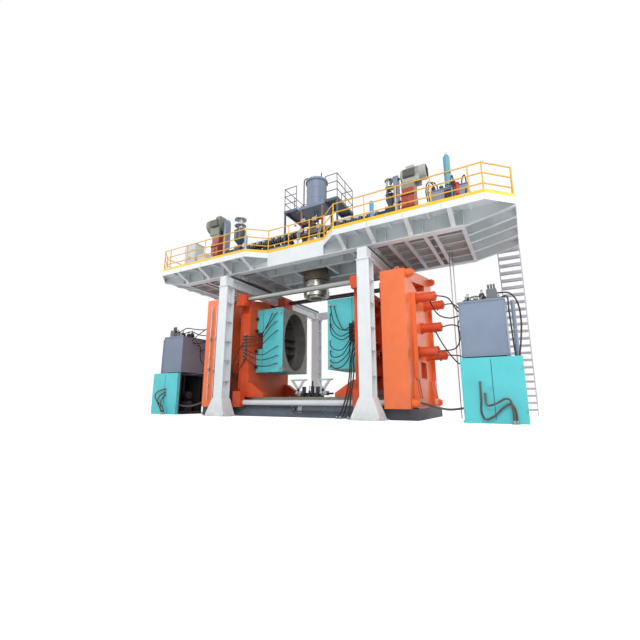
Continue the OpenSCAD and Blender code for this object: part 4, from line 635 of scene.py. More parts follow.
class MACHINE_OT_stage(bpy.types.Operator):
    """Sets the camera at the photograph's place, the lamps and the pale floor"""

    bl_idname = "machine.stage"
    bl_label = "Camera and stage"

    def execute(self, context):
        scene = context.scene
        scene.view_settings.view_transform = "Standard"
        lens = bpy.data.cameras.new("view")
        lens.sensor_width = FILM
        lens.lens = LENS
        lens.clip_end = 400.0
        camera = stand("view", lens)
        camera.location = CAMERA_PLACE
        camera.rotation_euler = [radians(turn) for turn in CAMERA_TURN]
        scene.camera = camera
        for name, place, aim, size, power in (
                ("sky_front", (12.0, -26.0, 20.0), (0.0, 0.0, 4.0), 16.0, 3800.0),
                ("sky_left", (-24.0, -14.0, 16.0), (0.0, 0.0, 5.0), 14.0, 1600.0),
                ("sky_right", (26.0, -2.0, 14.0), (3.0, 0.0, 4.0), 14.0, 2000.0)):
            data = bpy.data.lights.new(name, "AREA")
            data.shape = "DISK"
            data.size = size
            data.energy = power
            lamp = stand(name, data)
            lamp.location = place
            lamp.rotation_euler = (Vector(aim) - Vector(place)).to_track_quat("-Z", "Y").to_euler()
        self.light_world(scene)
        if sizes().show_floor:
            self.lay_floor()
        return {"FINISHED"}

    def light_world(self, scene):
        """Plain grey daylight; what the camera and mirrors see of it is white."""
        scene.world = bpy.data.worlds.new("daylight")
        tree = blank(scene.world)
        ray = add(tree, "ShaderNodeLightPath").outputs
        seen = ray["Is Camera Ray"]
        for kind in ("Is Glossy Ray", "Is Transmission Ray"):
            seen = add(tree, "ShaderNodeMath", {0: seen, 1: ray[kind]}, operation="MAXIMUM").outputs[0]
        soft = add(tree, "ShaderNodeBackground", {"Color": linear("#eef2f6"), "Strength": 0.62})
        plain = add(tree, "ShaderNodeBackground", {"Color": (1, 1, 1, 1), "Strength": 1.0})
        both = add(tree, "ShaderNodeMixShader", {0: seen, 1: soft.outputs[0], 2: plain.outputs[0]})
        add(tree, "ShaderNodeOutputWorld", {0: both.outputs[0]})

    def lay_floor(self):
        """Pale floor: white where it is lit, and it keeps the machine's shadow."""
        data = bpy.data.meshes.new("floor")
        reach = 120.0
        corners = [(-reach, -reach, 0), (reach, -reach, 0), (reach, reach, 0), (-reach, reach, 0)]
        data.from_pydata(corners, [], [(0, 1, 2, 3)])
        material = bpy.data.materials.new("pale_screed")
        tree = blank(material)
        seen = add(tree, "ShaderNodeLightPath").outputs["Is Camera Ray"]
        matt = add(tree, "ShaderNodeBsdfDiffuse", {"Color": linear("#f4f4f4")}).outputs[0]
        glow = add(tree, "ShaderNodeEmission", {"Color": (1, 1, 1, 1), "Strength": 0.62}).outputs[0]
        both = add(tree, "ShaderNodeAddShader", {0: matt, 1: glow}).outputs[0]
        shown = add(tree, "ShaderNodeMixShader", {0: seen, 1: matt, 2: both}).outputs[0]
        add(tree, "ShaderNodeOutputMaterial", {0: shown})
        data.materials.append(material)
        stand("floor", data)


# Hoses


def fan(thick, out, home, *paths):
    """Hoses of one diameter, way out and way in, each with its places from top to bottom."""
    return [(thick, out, path, home) for path in paths]


HOSES_LEFT_ROUTES = (
    fan(0.042, FRONT, BACK,
        [(-1.56, -1.09, 4.79), (-1.86, -1.29, 4.25), (-2.25, -1.5, 3.72), (-2.8, -1.87, 3.63),
         (-2.92, -1.79, 3.65)],
        [(-1.8, -1.09, 4.79), (-2.01, -1.23, 4.25), (-2.32, -1.43, 3.6), (-2.8, -1.87, 3.48),
         (-2.92, -1.79, 3.5)],
        [(-1.55, -1.09, 4.4), (-1.82, -1.3, 4.06), (-2.2, -1.52, 3.5), (-2.8, -1.87, 3.33),
         (-2.92, -1.79, 3.35)],
        [(-1.48, -1.09, 3.95), (-1.76, -1.29, 3.66), (-2.16, -1.52, 3.24), (-2.8, -1.87, 3.18),
         (-2.92, -1.79, 3.2)],
        [(-1.45, -1.09, 3.19), (-1.72, -1.3, 2.98), (-2.12, -1.52, 2.76), (-2.8, -1.87, 3),
         (-2.92, -1.79, 3.05)],
        [(-1.44, -1.09, 2.76), (-1.8, -1.3, 2.6), (-2.26, -1.56, 2.54), (-2.8, -1.87, 2.84),
         (-2.92, -1.79, 2.9)],
        [(-1.49, -1.09, 2.39), (-1.9, -1.3, 2.25), (-2.4, -1.6, 2.3), (-2.8, -1.87, 2.66),
         (-2.92, -1.79, 2.75)])
    + fan(0.055, DOWN, DOWN,
        [(-2.92, -1.715, 2.6), (-3.08, -1.88, 2.1), (-3.28, -2.05, 1.5), (-3.29, -2.055, 0.9),
         (-3.28, -2.06, 0.045)])
    + fan(0.055, LEFT, DOWN,
        [(-3, -1.715, 3.32), (-3.2, -1.9, 2.9), (-3.34, -2.04, 2.1), (-3.36, -2.055, 1.2),
         (-3.38, -2.06, 0.045)])
)
HOSES_RIGHT_ROUTES = (
    fan(0.042, FRONT, BACK,
        [(1.38, -1.09, 4.78), (1.46, -1.23, 4.35), (1.64, -1.3, 3.92), (2, -1.33, 3.6),
         (2.42, -1.33, 3.72), (2.5, -1.24, 3.8)],
        [(1.54, -1.09, 4.76), (1.7, -1.24, 4.3), (1.9, -1.3, 3.86), (2.16, -1.41, 3.56),
         (2.52, -1.41, 3.62), (2.6, -1.24, 3.7)],
        [(1.35, -1.09, 4.43), (1.4, -1.24, 4), (1.58, -1.31, 3.61), (1.95, -1.36, 3.33),
         (2.4, -1.36, 3.5), (2.48, -1.24, 3.6)],
        [(1.33, -1.09, 3.98), (1.43, -1.24, 3.59), (1.65, -1.32, 3.33), (2.06, -1.38, 3.18),
         (2.52, -1.37, 3.42), (2.6, -1.24, 3.5)],
        [(1.33, -1.09, 3.22), (1.42, -1.24, 2.96), (1.67, -1.32, 2.78), (2.06, -1.39, 2.78),
         (2.4, -1.37, 3.2), (2.48, -1.24, 3.4)],
        [(1.33, -1.09, 2.78), (1.45, -1.24, 2.54), (1.72, -1.33, 2.46), (2.12, -1.44, 2.6),
         (2.52, -1.49, 3.14), (2.6, -1.24, 3.3)],
        [(1.32, -1.09, 2.39), (1.54, -1.24, 2.24), (1.88, -1.33, 2.27), (2.31, -1.41, 2.6),
         (2.4, -1.4, 3), (2.48, -1.24, 3.21)],
        [(1.34, -1.09, 2.17), (1.62, -1.24, 2), (2.03, -1.33, 2.09), (2.36, -1.42, 2.45),
         (2.47, -1.56, 2.85), (2.6, -1.5, 3.1), (2.66, -1.24, 3.2)])
    + fan(0.055, DOWN, DOWN,
        [(2.56, -1.17, 3.15), (2.57, -1.33, 2.8), (2.58, -1.65, 2.5), (2.66, -1.88, 2.05),
         (2.69, -2.03, 1.5), (2.63, -2.07, 1), (2.54, -2.1, 0.6), (2.41, -2.16, 0.16),
         (2.3, -2.2, 0.04)],
        [(2.65, -1.17, 3.15), (2.665, -1.4, 2.75), (2.67, -1.7, 2.35), (2.78, -1.93, 1.85),
         (2.77, -2.05, 1.35), (2.71, -2.11, 0.9), (2.68, -2.15, 0.45), (2.62, -2.2, 0.04)],
        [(2.47, -1.17, 3.15), (2.48, -1.4, 2.65), (2.52, -1.7, 2.2), (2.6, -1.95, 1.7),
         (2.56, -2.06, 1.15), (2.45, -2.11, 0.65), (2.28, -2.16, 0.2), (2.15, -2.2, 0.04)])
)
CLAMP_ROUTES = (
    fan(0.048, RIGHT, RIGHT,
        [(5.8, -0.77, 4.7), (6.3, -0.95, 4.5), (6.64, -1.5, 3.9), (6.79, -1.5, 3.8)])
    + fan(0.048, DOWN, RIGHT,
        [(5.6, -0.77, 4.51), (5.9, -1, 3.9), (6.35, -1.3, 3.65), (6.79, -1.4, 3.68)])
    + fan(0.048, RIGHT, RIGHT,
        [(5.8, 0.77, 4.7), (6.25, 0.3, 4.56), (6.56, -0.3, 4.2), (6.79, -0.64, 3.86)],
        [(5.8, 0, 3.6), (6.3, -0.4, 3.56), (6.79, -0.9, 3.3)])
    + fan(0.048, DOWN, RIGHT,
        [(5.6, 0, 3.41), (5.95, -0.3, 2.7), (6.45, -0.8, 2.05), (6.79, -1, 1.99)])
    + fan(0.048, RIGHT, RIGHT,
        [(5.8, -0.77, 2.53), (6.4, -0.9, 2.56), (6.62, -1, 2.9), (6.6, -1.06, 3.45), (6.79, -1.1, 3.6)],
        [(5.8, 0.77, 2.53), (6.35, 0.2, 2.42), (6.79, -0.6, 2.26)])
    + fan(0.075, RIGHT, RIGHT,
        [(5.28, -1.85, 0.6), (5.8, -1.87, 0.47), (6.25, -1.96, 0.4), (6.79, -2.03, 0.45)])
)
RIGHT_ROUTES = (
    fan(0.065, FRONT, DOWN,
        [(7.3, -2.27, 1.27), (7.29, -2.36, 0.7), (7.27, -2.37, 0.35), (7.38, -2.38, 0.12),
         (7.65, -2.38, 0.25), (7.9, -2.38, 0.48), (8.12, -2.38, 0.59), (8.22, -2.37, 0.42),
         (8.24, -2.36, 0.05)],
        [(7.42, -2.27, 0.9), (7.45, -2.4, 0.56), (7.7, -2.47, 0.6), (7.96, -2.47, 0.74),
         (8.11, -2.46, 0.7), (8.16, -2.45, 0.4), (8.16, -2.44, 0.05)])
    + fan(0.05, RIGHT, DOWN,
        [(8.02, -1.75, 4.25), (8.4, -1.8, 4.18), (8.6, -1.9, 3.8), (8.64, -2, 3.2), (8.58, -2.12, 2.6),
         (8.5, -2.19, 2.05)],
        [(8.02, -1.65, 4.1), (8.31, -1.9, 4.05), (8.33, -2.04, 3.6), (8.35, -2.12, 2.9),
         (8.38, -2.19, 2.05)])
    + fan(0.05, LEFT, DOWN,
        [(7.7, -1.75, 4.15), (7.3, -1.72, 4.23), (7.02, -1.66, 4.13), (7, -1.65, 3.97)])
)
LEFT_ROUTES = (
    fan(0.06, FRONT, DOWN,
        [(-7.56, -2.27, 1.25), (-8, -2.38, 1.13), (-8.2, -2.38, 0.92), (-8.02, -2.38, 0.65),
         (-7.65, -2.37, 0.42), (-7.45, -2.36, 0.045)],
        [(-7.54, -2.27, 1.1), (-7.86, -2.38, 0.9), (-7.9, -2.44, 0.62), (-7.64, -2.45, 0.3),
         (-7.4, -2.46, 0.045)],
        [(-7.54, -2.27, 0.95), (-7.7, -2.4, 0.64), (-7.52, -2.54, 0.3), (-7.38, -2.56, 0.045)])
    + fan(0.05, RIGHT, RIGHT,
        [(-7.7, -1.75, 4.2), (-7, -1.75, 4.43), (-6.35, -1.74, 4.33), (-5.7, -1.7, 4.25),
         (-5.01, -1.65, 4.33)],
        [(-7.7, -1.65, 4.08), (-6.8, -1.64, 4.25), (-6, -1.64, 4), (-5.01, -1.65, 3.9)])
)


def mirrored(route):
    """The same route on the machine's left side."""
    thick, out, places, home = route
    flip = Vector((-1, 1, 1))
    return thick, out * flip, [Vector(p) * flip for p in places], home * flip


def smooth_route(route):
    """Points of a Catmull-Rom curve with a straight piece of 60 mm at each fitting."""
    _, out, places, home = route
    places = [Vector(p) for p in places]
    knots = [places[0], places[0] + 0.06 * out] + places[1:-1] + [places[-1] - 0.06 * home, places[-1]]
    steps = 4 if len(knots) > 9 else 6
    path = [knots[0]]
    for i in range(1, len(knots) - 2):
        a, b, c, d = knots[i - 1:i + 3]
        for j in range(steps):
            t = j / steps
            path.append(0.5 * (2 * b + (c - a) * t + (2 * a - 5 * b + 4 * c - d) * t * t
                               + (3 * b - a - 3 * c + d) * t * t * t))
    return path + knots[-2:]


class MACHINE_OT_hoses(bpy.types.Operator):
    """Lays the mould, clamp and cabinet hoses along their routes"""

    bl_idname = "machine.hoses"
    bl_label = "Hoses"

    def execute(self, context):
        # The last hoses of each mould group run down to the floor
        for k, route in enumerate(HOSES_LEFT_ROUTES):
            self.lay("mould_hose_left_%d" % k, route, "left_clamp", "hoses_left", blend=k > 6)
        for k, route in enumerate(HOSES_RIGHT_ROUTES):
            self.lay("mould_hose_right_%d" % k, route, "right_clamp", "hoses_right", blend=k > 7)
        for k, route in enumerate(CLAMP_ROUTES):
            self.lay("clamp_hose_right_%d" % k, route, "frame", "power_hoses")
            self.lay("clamp_hose_left_%d" % k, mirrored(route), "frame", "power_hoses")
        for name, routes in (("right", RIGHT_ROUTES), ("left", LEFT_ROUTES)):
            for k, route in enumerate(routes):
                self.lay("cabinet_hose_%s_%d" % (name, k), route, "frame", "power_hoses")
        return {"FINISHED"}

    def lay(self, name, route, body, node, blend=False):
        thick = route[0]
        path = smooth_route(route)
        work = Metalwork()
        work.pipe(path, thick / 2, sizes().hose_sides)
        rubber = "fine_rubber" if thick < THICK_HOSE else "thick_rubber"
        hose = work.finish(name, rubber, "hose_rubber", None if blend else body)
        if blend:
            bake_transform(hose)
        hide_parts(node)
        ends = [self.floor_union(name + "_fitting", path[-1], thick)] if path[-1].z < 0.06 else []

    def floor_union(self, name, end, thick):
        """Screwed union that holds a hose on its pipe in the floor."""
        work = Metalwork()
        foot = (end.x, end.y, 0.0)
        work.turned(foot, UP, [(0, thick * 1.2), (0.010, thick * 1.2), (0.014, thick * 1.1),
                               (0.014, thick * 0.86), (0.050, thick * 0.86)], 6)
        work.turned(foot, UP, [(0.048, thick * 0.70), (0.085, thick * 0.66), (0.105, thick * 0.56)], 18)
        return work.finish(name, "galvanised", "pipe_steel")


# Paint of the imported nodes, each row a finish and the nodes that wear it


COATS = {
    "bed": "machine_bed", "bases": "plate_bases deck_rails", "ways": "guide_rails",
    "orange": "end_plate_right", "cylinder": "clamp_cylinders_left clamp_cylinders_right",
    "chrome": "piston_rods_left piston_rods_right ram_rod", "platen": "platen_left platen_right",
    "galvanised": "cooling_manifold_left",
    "dark": "cooling_manifold_right spreader_base extruder_left extruder_right",
    "rack": "sync_rack_left sync_rack_right sync_pinion mandrel motor_pulley_left motor_pulley_right"
            " gear_pulley_left gear_pulley_right",
    "white": "columns", "beam": "cross_beams", "deck": "deck_frame", "fascia": "deck_plate",
    "toe": "toe_board", "rails": "deck_handrail", "ladder": "access_ladder",
    "platform": "service_platforms", "inject": "injection_cylinder",
    "steel": "screw_left screw_right", "guard": "belt_guard_left belt_guard_right",
    "motor_left": "motor_left", "motor_right": "motor_right",
    "cabinet": "control_cabinet cabinet_door", "spreader": "spreader_arm_left spreader_arm_right",
}


def paint(finish, *nodes):
    """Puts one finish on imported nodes."""
    for name in nodes:
        places = frame["nodes"][name].material_slots
        if not places:
            raise RuntimeError("%s has no material slot" % name)
        for place in places:
            place.link = "OBJECT"
            place.material = finish


class MACHINE_OT_paint(bpy.types.Operator):
    """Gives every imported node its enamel, steel or rubber"""

    bl_idname = "machine.paint"
    bl_label = "Paint and metals"

    def execute(self, context):
        for key, nodes in COATS.items():
            paint(FINISH[key], *nodes.split())
        for _, name in SIDES:
            paint(mould_coat(name), "mould_half_" + name)
            self.hopper_paint("hopper_" + name)
            self.gearbox_paint(name)
            self.unit_paint(name)
        self.steels()
        self.deck_tank_paint()
        return {"FINISHED"}

    # Zones are (lowest corner, highest corner, colour, metal, roughness)

    def steels(self):
        """Pieces of bare steel with painted, wrapped or heat-browned parts."""
        c = colours()
        # Left end plate: orange, with bare riser pipes on its front
        paint(surface("orange_enamel_with_pipes", c.clamp, rough=0.36, shade=0.08, coat=0.25,
                      dirt=0.25, dirt_top=1.2, dirt_hex="#6b3a26", grain=0.0015, zones=(
                          ((-5, -3, 0.6), (-4, -2.214, 5.3), "#c3c5c6", 0.7, 0.35),)), "end_plate_left")
        # Head frame: scaled pillars that carry a painted plate
        paint(surface("scaled_pillars_painted_plate", "#8a6a54", rough=0.55, metal=0.3, shade=0.25,
                      streak=0.35, streak_hex="#5a4032", grain=0.003, zones=(
                          ((-3, -3, 10.19), (3, 3, 11), c.tanks, 0.0, 0.42),)), "head_frame")
        # Ground tie bars: the lower front one wrapped white, the back ones dark, the nuts orange
        paint(surface("ground_tie_bars", "#b5b4af", rough=0.28, metal=0.95, shade=0.12,
                      brushed=(1.0, 150.0, 150.0), zones=(
                          ((-9, -3, 0), (9, -1, 1.2), "#dcdfe0", 0.0, 0.38),
                          ((-9, 1, 5), (9, 3, 7), "#5f6062", 0.7, 0.4),
                          ((5.008, -3, 0), (9, 3, 7), c.clamp, 0.0, 0.36),
                          ((-9, -3, 0), (-5.008, 3, 7), c.clamp, 0.0, 0.36))), "tie_bars")
        # Die head: turned rings below, heat-browned body above, dark scale inside the deck
        paint(surface("turned_head_steel", "#b9b6ae", rough=0.3, metal=0.95, shade=0.16, streak=0.15,
                      streak_hex="#80664c", brushed=(2.0, 2.0, 220.0), zones=(
                          ((-2, -2, 6.36), (2, 2, 7.6), "#8b7f70", 0.8, 0.45),
                          ((-2, -2, 7.6), (2, 2, 10), "#6d6156", 0.6, 0.5))), "die_head")

    def hopper_paint(self, name):
        """Hopper: dark enamel below a pale loader."""
        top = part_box(name)[1][2]
        paint(surface("enamel_on_" + name, "#474d56", rough=0.36, shade=0.12, grain=0.001, zones=(
            ((-9, -3, top - 0.62), (9, 3, top + 1), "#b9bcbd", 0.4, 0.35),)), name)

    def gearbox_paint(self, name):
        """Cast gearbox in red enamel, its motor bracket grey and its stand black."""
        top = 10.22 if name == "left" else 9.95
        paint(surface("red_enamel_on_gearbox_" + name, "#a8412f", rough=0.42, shade=0.14, grain=0.004,
                      streak=0.12, streak_hex="#5c241e", zones=(
                          ((-9, -3, top), (9, 3, 13), "#8e9086", 0.0, 0.45),
                          ((-9, -3, 7), (9, 3, 8.64), "#2e2f33", 0.0, 0.5))), "gearbox_" + name)

    def unit_paint(self, name):
        """Power unit: blue-grey tank, turquoise cabinet in front, dark open frame below, valve block."""
        low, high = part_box("power_unit_" + name)
        x0, x1 = low[0] - 0.1, high[0] + 0.1
        # The left tank is the darker one
        tint = dimmed(colours().tanks, 0.84 if name == "left" else 1.0)
        paint(surface("tank_enamel_" + name, tint, rough=0.4, shade=0.08, grain=0.001, coat=0.1, zones=(
            ((x0, -2.09, -0.1), (x1, 3, 2.08), "#33353d", 0.0, 0.5),
            ((x0, -3, -0.1), (x1, -2.108, 2.2), colours().mould, 0.0, 0.36),
            ((x0, -3, TANK_TOP + 0.002), (x1, 3, 5), "#63676b", 0.8, 0.4))), "power_unit_" + name)

    def deck_tank_paint(self):
        """Deck hydraulics: blue-grey tank, pale blue bottle, red filter, blue posts, bare conduits."""
        paint(surface("deck_tank_enamel", colours().tanks, rough=0.4, shade=0.08, grain=0.001, zones=(
            ((6.5, -1.7, 8.73), (6.95, -1.3, 10.3), "#609fb6", 0.0, 0.36),
            ((6.9, -2.1, 8.0), (7.25, -1.904, 8.7), "#c8242e", 0.0, 0.4),
            ((3.3, -1.6, 7.4), (3.7, -1.2, 9.3), "#4a9ed6", 0.0, 0.36),
            ((-3.7, -1.6, 7.4), (-3.3, -1.2, 9.3), "#4a9ed6", 0.0, 0.36),
            ((6.1, 0.5, -0.1), (6.5, 0.7, 7.6), "#a9acad", 0.8, 0.4))), "deck_hydraulics")


class MACHINE_OT_bolts(bpy.types.Operator):
    """Sets the rows and rings of bolts on flanges, caps and feet"""

    bl_idname = "machine.bolts"
    bl_label = "Bolts"

    def execute(self, context):
        points = []
        # Rings of the die head, screwed from the side and from below
        for z in (5.81, 6.20):
            for k in range(12):
                a = 2 * pi * (k + 0.5) / 12
                out = Vector((cos(a), sin(a), 0))
                points.append((out * 0.615 + Vector((0, 0, z)), out, 1.1))
        points += circle((0, 0, 6.70), UP, 0.63, 20, 0.9)
        points += circle((0, 0, 5.55), DOWN, 0.40, 12, 0.9)
        # Top flange of the injection cylinder and its foot
        points += circle((0, 0, 11.89), UP, 0.553, 24, 0.9)
        points += circle((0, 0, 10.39), UP, 0.548, 16, 0.55)
        # Nuts of the four pillars
        for x in (-0.6, 0.6):
            for y in (-0.5, 0.5):
                points += [((x, y, 10.35), UP, 2.4), ((x, y, 10.20), DOWN, 2.4)]
        bolts("die_head_bolts", points)
        points = []
        for side, _ in SIDES:
            x = side * 3.56
            # Heads and feet of the columns
            for y in (-2.70, 6.00):
                points += [((x + dx, y + dy, 6.0), DOWN, 1.0) for dx in (-0.26, 0.26) for dy in (0.04, 0.46)]
                points += [((x + dx, y + dy, 0.04), UP, 1.2) for dx in (-0.54, 0.54) for dy in (-0.12, 0.55)]
            # Wheel blocks over the rails
            points += [((x + dx, y - 0.23, 6.63 + dz), FRONT, 0.7) for y in (-1.45, 1.45)
                       for dx in (-0.14, 0.14) for dz in (0.05, 0.14)]
        bolts("column_bolts", points, "galvanised")
        points = []
        for side, _ in SIDES:
            axis = Vector((side, 0, 0))
            for y, z in CYLINDERS:
                points += circle((side * 5.07, y, z), axis, 0.214, 10, 0.75)
                points += circle((side * 5.80, y, z), axis, 0.150, 8, 0.7)
            # Bolts of the ribbed feet
            points += [((side * 5.18, s * 1.3 - 0.34 + 0.17 * k, 0.52), axis, 1.0)
                       for s in (-1, 1) for k in range(5)]
        # The bolts wear the cylinders' enamel, which is darker as painted shade
        bolts("clamp_bolts", points, "cylinder")
        points = [((x, -1.75, 0.39), FRONT, 0.9) for x in (-2.9, -2.1, -1.4, -0.7, 0.7, 1.4, 2.1, 2.9)]
        points += [((-3.5 + 0.5 * k, y, 0.83), UP, 0.5) for k in range(15) for y in (-1.375, -1.525)]
        bolts("bed_bolts", points)
        return {"FINISHED"}


class MACHINE_OT_clamp(bpy.types.Operator):
    """Fits ribs, clamps, valves and pipe fittings on the clamp unit"""

    bl_idname = "machine.clamp"
    bl_label = "Clamp unit fittings"

    def execute(self, context):
        for side, name in SIDES:
            self.end_plate(side, name)
            self.platen(side, name)
            self.hose_unions(side, name)
        self.riser_valves()
        self.header_valves()
        self.gear_cover()
        return {"FINISHED"}

    def end_plate(self, side, name):
        """Hydraulic ports, gland rings and fabricated edges of an end plate."""
        work = Metalwork()
        out = Vector((side, 0, 0))
        x = side * END_FACE
        for y, z in CYLINDERS:
            work.turned((side * 5.795, y, z), out,
                        [(0, 0.10), (0.03, 0.10), (0.035, 0.085), (0.06, 0.085)], 28)
            work.turned((side * 5.55, y, z - 0.185), DOWN,
                        [(0, 0.045), (0.02, 0.045), (0.02, 0.032), (0.05, 0.032)], 12)
        # Weld beads where the fins meet the plate
        for y in (-1.428, -1.372, 1.372, 1.428):
            work.bar((x, y, 1.5), (x, y, 4.8), 0.010, 6)
        # Rim of the triangular window and of the low door
        rim = [(-1.25, 5.29), (0.85, 5.69), (0.75, 5.39), (-0.42, 5.06)]
        door = [(-0.42, 1.54), (0.42, 1.54), (0.42, 2.20), (-0.42, 2.20)]
        for corners in (rim, door):
            for a, b in zip(corners, corners[1:] + corners[:1]):
                work.bar((x, *a), (x, *b), 0.014, 8)
        # The edges wear the cylinders' enamel, which is darker as painted shade
        work.finish("end_plate_%s_edges" % name, "cylinder", "orange_paint")
        work = Metalwork()
        for y, z in CYLINDERS:
            gland = [(0, 0.188), (0.03, 0.188), (0.04, 0.15), (0.06, 0.15), (0.065, 0.105), (0.09, 0.105)]
            work.turned((side * 4.03, y, z), -out, gland, 28, bore=0.102)
        work.finish("end_plate_%s_glands" % name, "steel", "ground_steel")

    def platen(self, side, name):
        """Clamps, stiffeners and shoes of a platen."""
        body = name + "_clamp"
        work = Metalwork()
        inward = Vector((-side, 0, 0))
        for y in (-1.2, 1.2):
            for z in (2.25, 3.0, 4.0, 4.6):
                work.block((side * 2.72, y - 0.055, z - 0.07), (side * 2.61, y + 0.055, z + 0.07), 0.012)
                work.turned((side * 2.62, y, z), inward, [(0, 0.034), (0.05, 0.034), (0.055, 0.028)], 6)
        for y in (-1.5, 1.5):
            for k in range(3):
                work.block((side * (2.05 + 0.20 * k), y - 0.02, 1.0),
                           (side * (2.09 + 0.20 * k), y + 0.02, 1.12 + 0.1 * k), 0.006)
        work.finish("platen_%s_clamps" % name, "dark", "dark_paint", body)
        work = Metalwork()
        # Gussets and cap of the front ear on the upper tie bar
        for z in (5.03, 4.95, 4.87):
            work.block((side * 2.79, -1.78, z), (side * 3.22, -1.62, z + 0.02), 0.006)
        a, b = sorted((side * 2.70, side * 2.79))
        for y in (-2.02, -1.86, -1.70):
            work.plate([(a, y, 5.62), (b, y, 5.62), (b, y, 5.16), (a, y, 5.30)], (0, 0.03, 0))
        for z in (5.45, 0.60):
            work.turned((side * 2.78, -1.85, z), inward,
                        [(0, 0.175), (0.05, 0.175), (0.06, 0.16)], 28, bore=0.117)
        work.finish("platen_%s_ribs" % name, "platen", "orange_paint", body)

    def hose_unions(self, side, name):
        """Elbows that carry the cooling hoses on the mould's front wall."""
        routes = HOSES_LEFT_ROUTES[:7] if side < 0 else HOSES_RIGHT_ROUTES[:8]
        work = Metalwork()
        for _, out, places, home in routes:
            foot = Vector(places[0])
            work.turned(foot, out, [(-0.001, 0.044), (0.012, 0.044), (0.012, 0.034), (0.034, 0.034)], 6)
            work.turned(foot + 0.034 * out, out, [(0, 0.027), (0.055, 0.027), (0.06, 0.022)], 14)
            work.turned(Vector(places[-1]) - 0.062 * home, home,
                        [(0, 0.022), (0.006, 0.027), (0.040, 0.027), (0.040, 0.034), (0.058, 0.034)], 6)
        # Plugs of the unused water ways, in a row near the parting face
        for z in (2.15, 2.6, 3.45, 3.72, 4.2, 4.93):
            for x in (1.27, 1.62):
                work.turned((side * x, MOULD_FRONT, z + (x - 1.27) * 0.2), FRONT,
                            [(-0.001, 0.022), (0.010, 0.022), (0.012, 0.016)], 10)
        work.finish("mould_%s_unions" % name, "galvanised", "pipe_steel", name + "_clamp")

    def riser_valves(self):
        """Valves on the riser pipes of the left end plate."""
        work = Metalwork()
        for x, z in ((-4.30, 3.62), (-4.64, 3.58), (-4.30, 2.05), (-4.64, 2.15)):
            work.turned((x, -2.27, z - 0.09), UP,
                        [(0, 0.04), (0.02, 0.05), (0.05, 0.05), (0.06, 0.038), (0.12, 0.038),
                         (0.13, 0.05), (0.16, 0.05), (0.18, 0.04)], 14)
            work.turned((x, -2.30, z), FRONT, [(0, 0.018), (0.04, 0.018), (0.04, 0.03), (0.05, 0.03)], 12)
        work.finish("riser_valves", "galvanised", "pipe_steel")

    def header_valves(self):
        """Blocks, gauges and taps on the two water headers."""
        work = Metalwork()
        for z in (2.66, 3.24, 3.70):
            work.block((-2.995, -1.80, z - 0.03), (-2.845, -1.765, z + 0.03), 0.006)
        work.turned((-2.92, -1.715, 3.73), UP, [(0, 0.03), (0.05, 0.03), (0.05, 0.045), (0.075, 0.045)], 12)
        for z in (2.8, 2.95, 3.1, 3.25, 3.4, 3.55):
            work.bar((-2.84, -1.69, z), (-2.79, -1.69, z), 0.016, 8)
        work.finish("water_header_left_fittings", "galvanised", "pipe_steel", "left_clamp")
        work = Metalwork()
        for k in range(4):
            work.turned((2.48 + 0.07 * k, -1.24, 3.80), UP,
                        [(0.07, 0.025), (0.12, 0.025), (0.125, 0.018), (0.17, 0.018)], 10)
        work.block((2.27, -1.23, 3.14), (2.441, -1.10, 3.88), 0.008)
        work.finish("water_header_right_fittings", "black", "dark_paint", "right_clamp")

    def gear_cover(self):
        """Cover of the synchroniser's gear in front of the bed, with its screws and couplings."""
        work = Metalwork()
        work.block((-0.13, -1.80, 0.19), (0.33, -1.755, 0.46), 0.012)
        for x in (-0.06, 0.26):
            for z in (0.24, 0.41):
                work.turned((x, -1.80, z), FRONT, [(0, 0.024), (0.018, 0.024), (0.022, 0.016)], 6)
        for x in (-0.15, 0.33):
            work.turned((x, -1.775, 0.43), UP, [(0, 0.03), (0.05, 0.03), (0.06, 0.02), (0.10, 0.02)], 10)
        work.finish("gear_cover", "galvanised", "rack_iron")


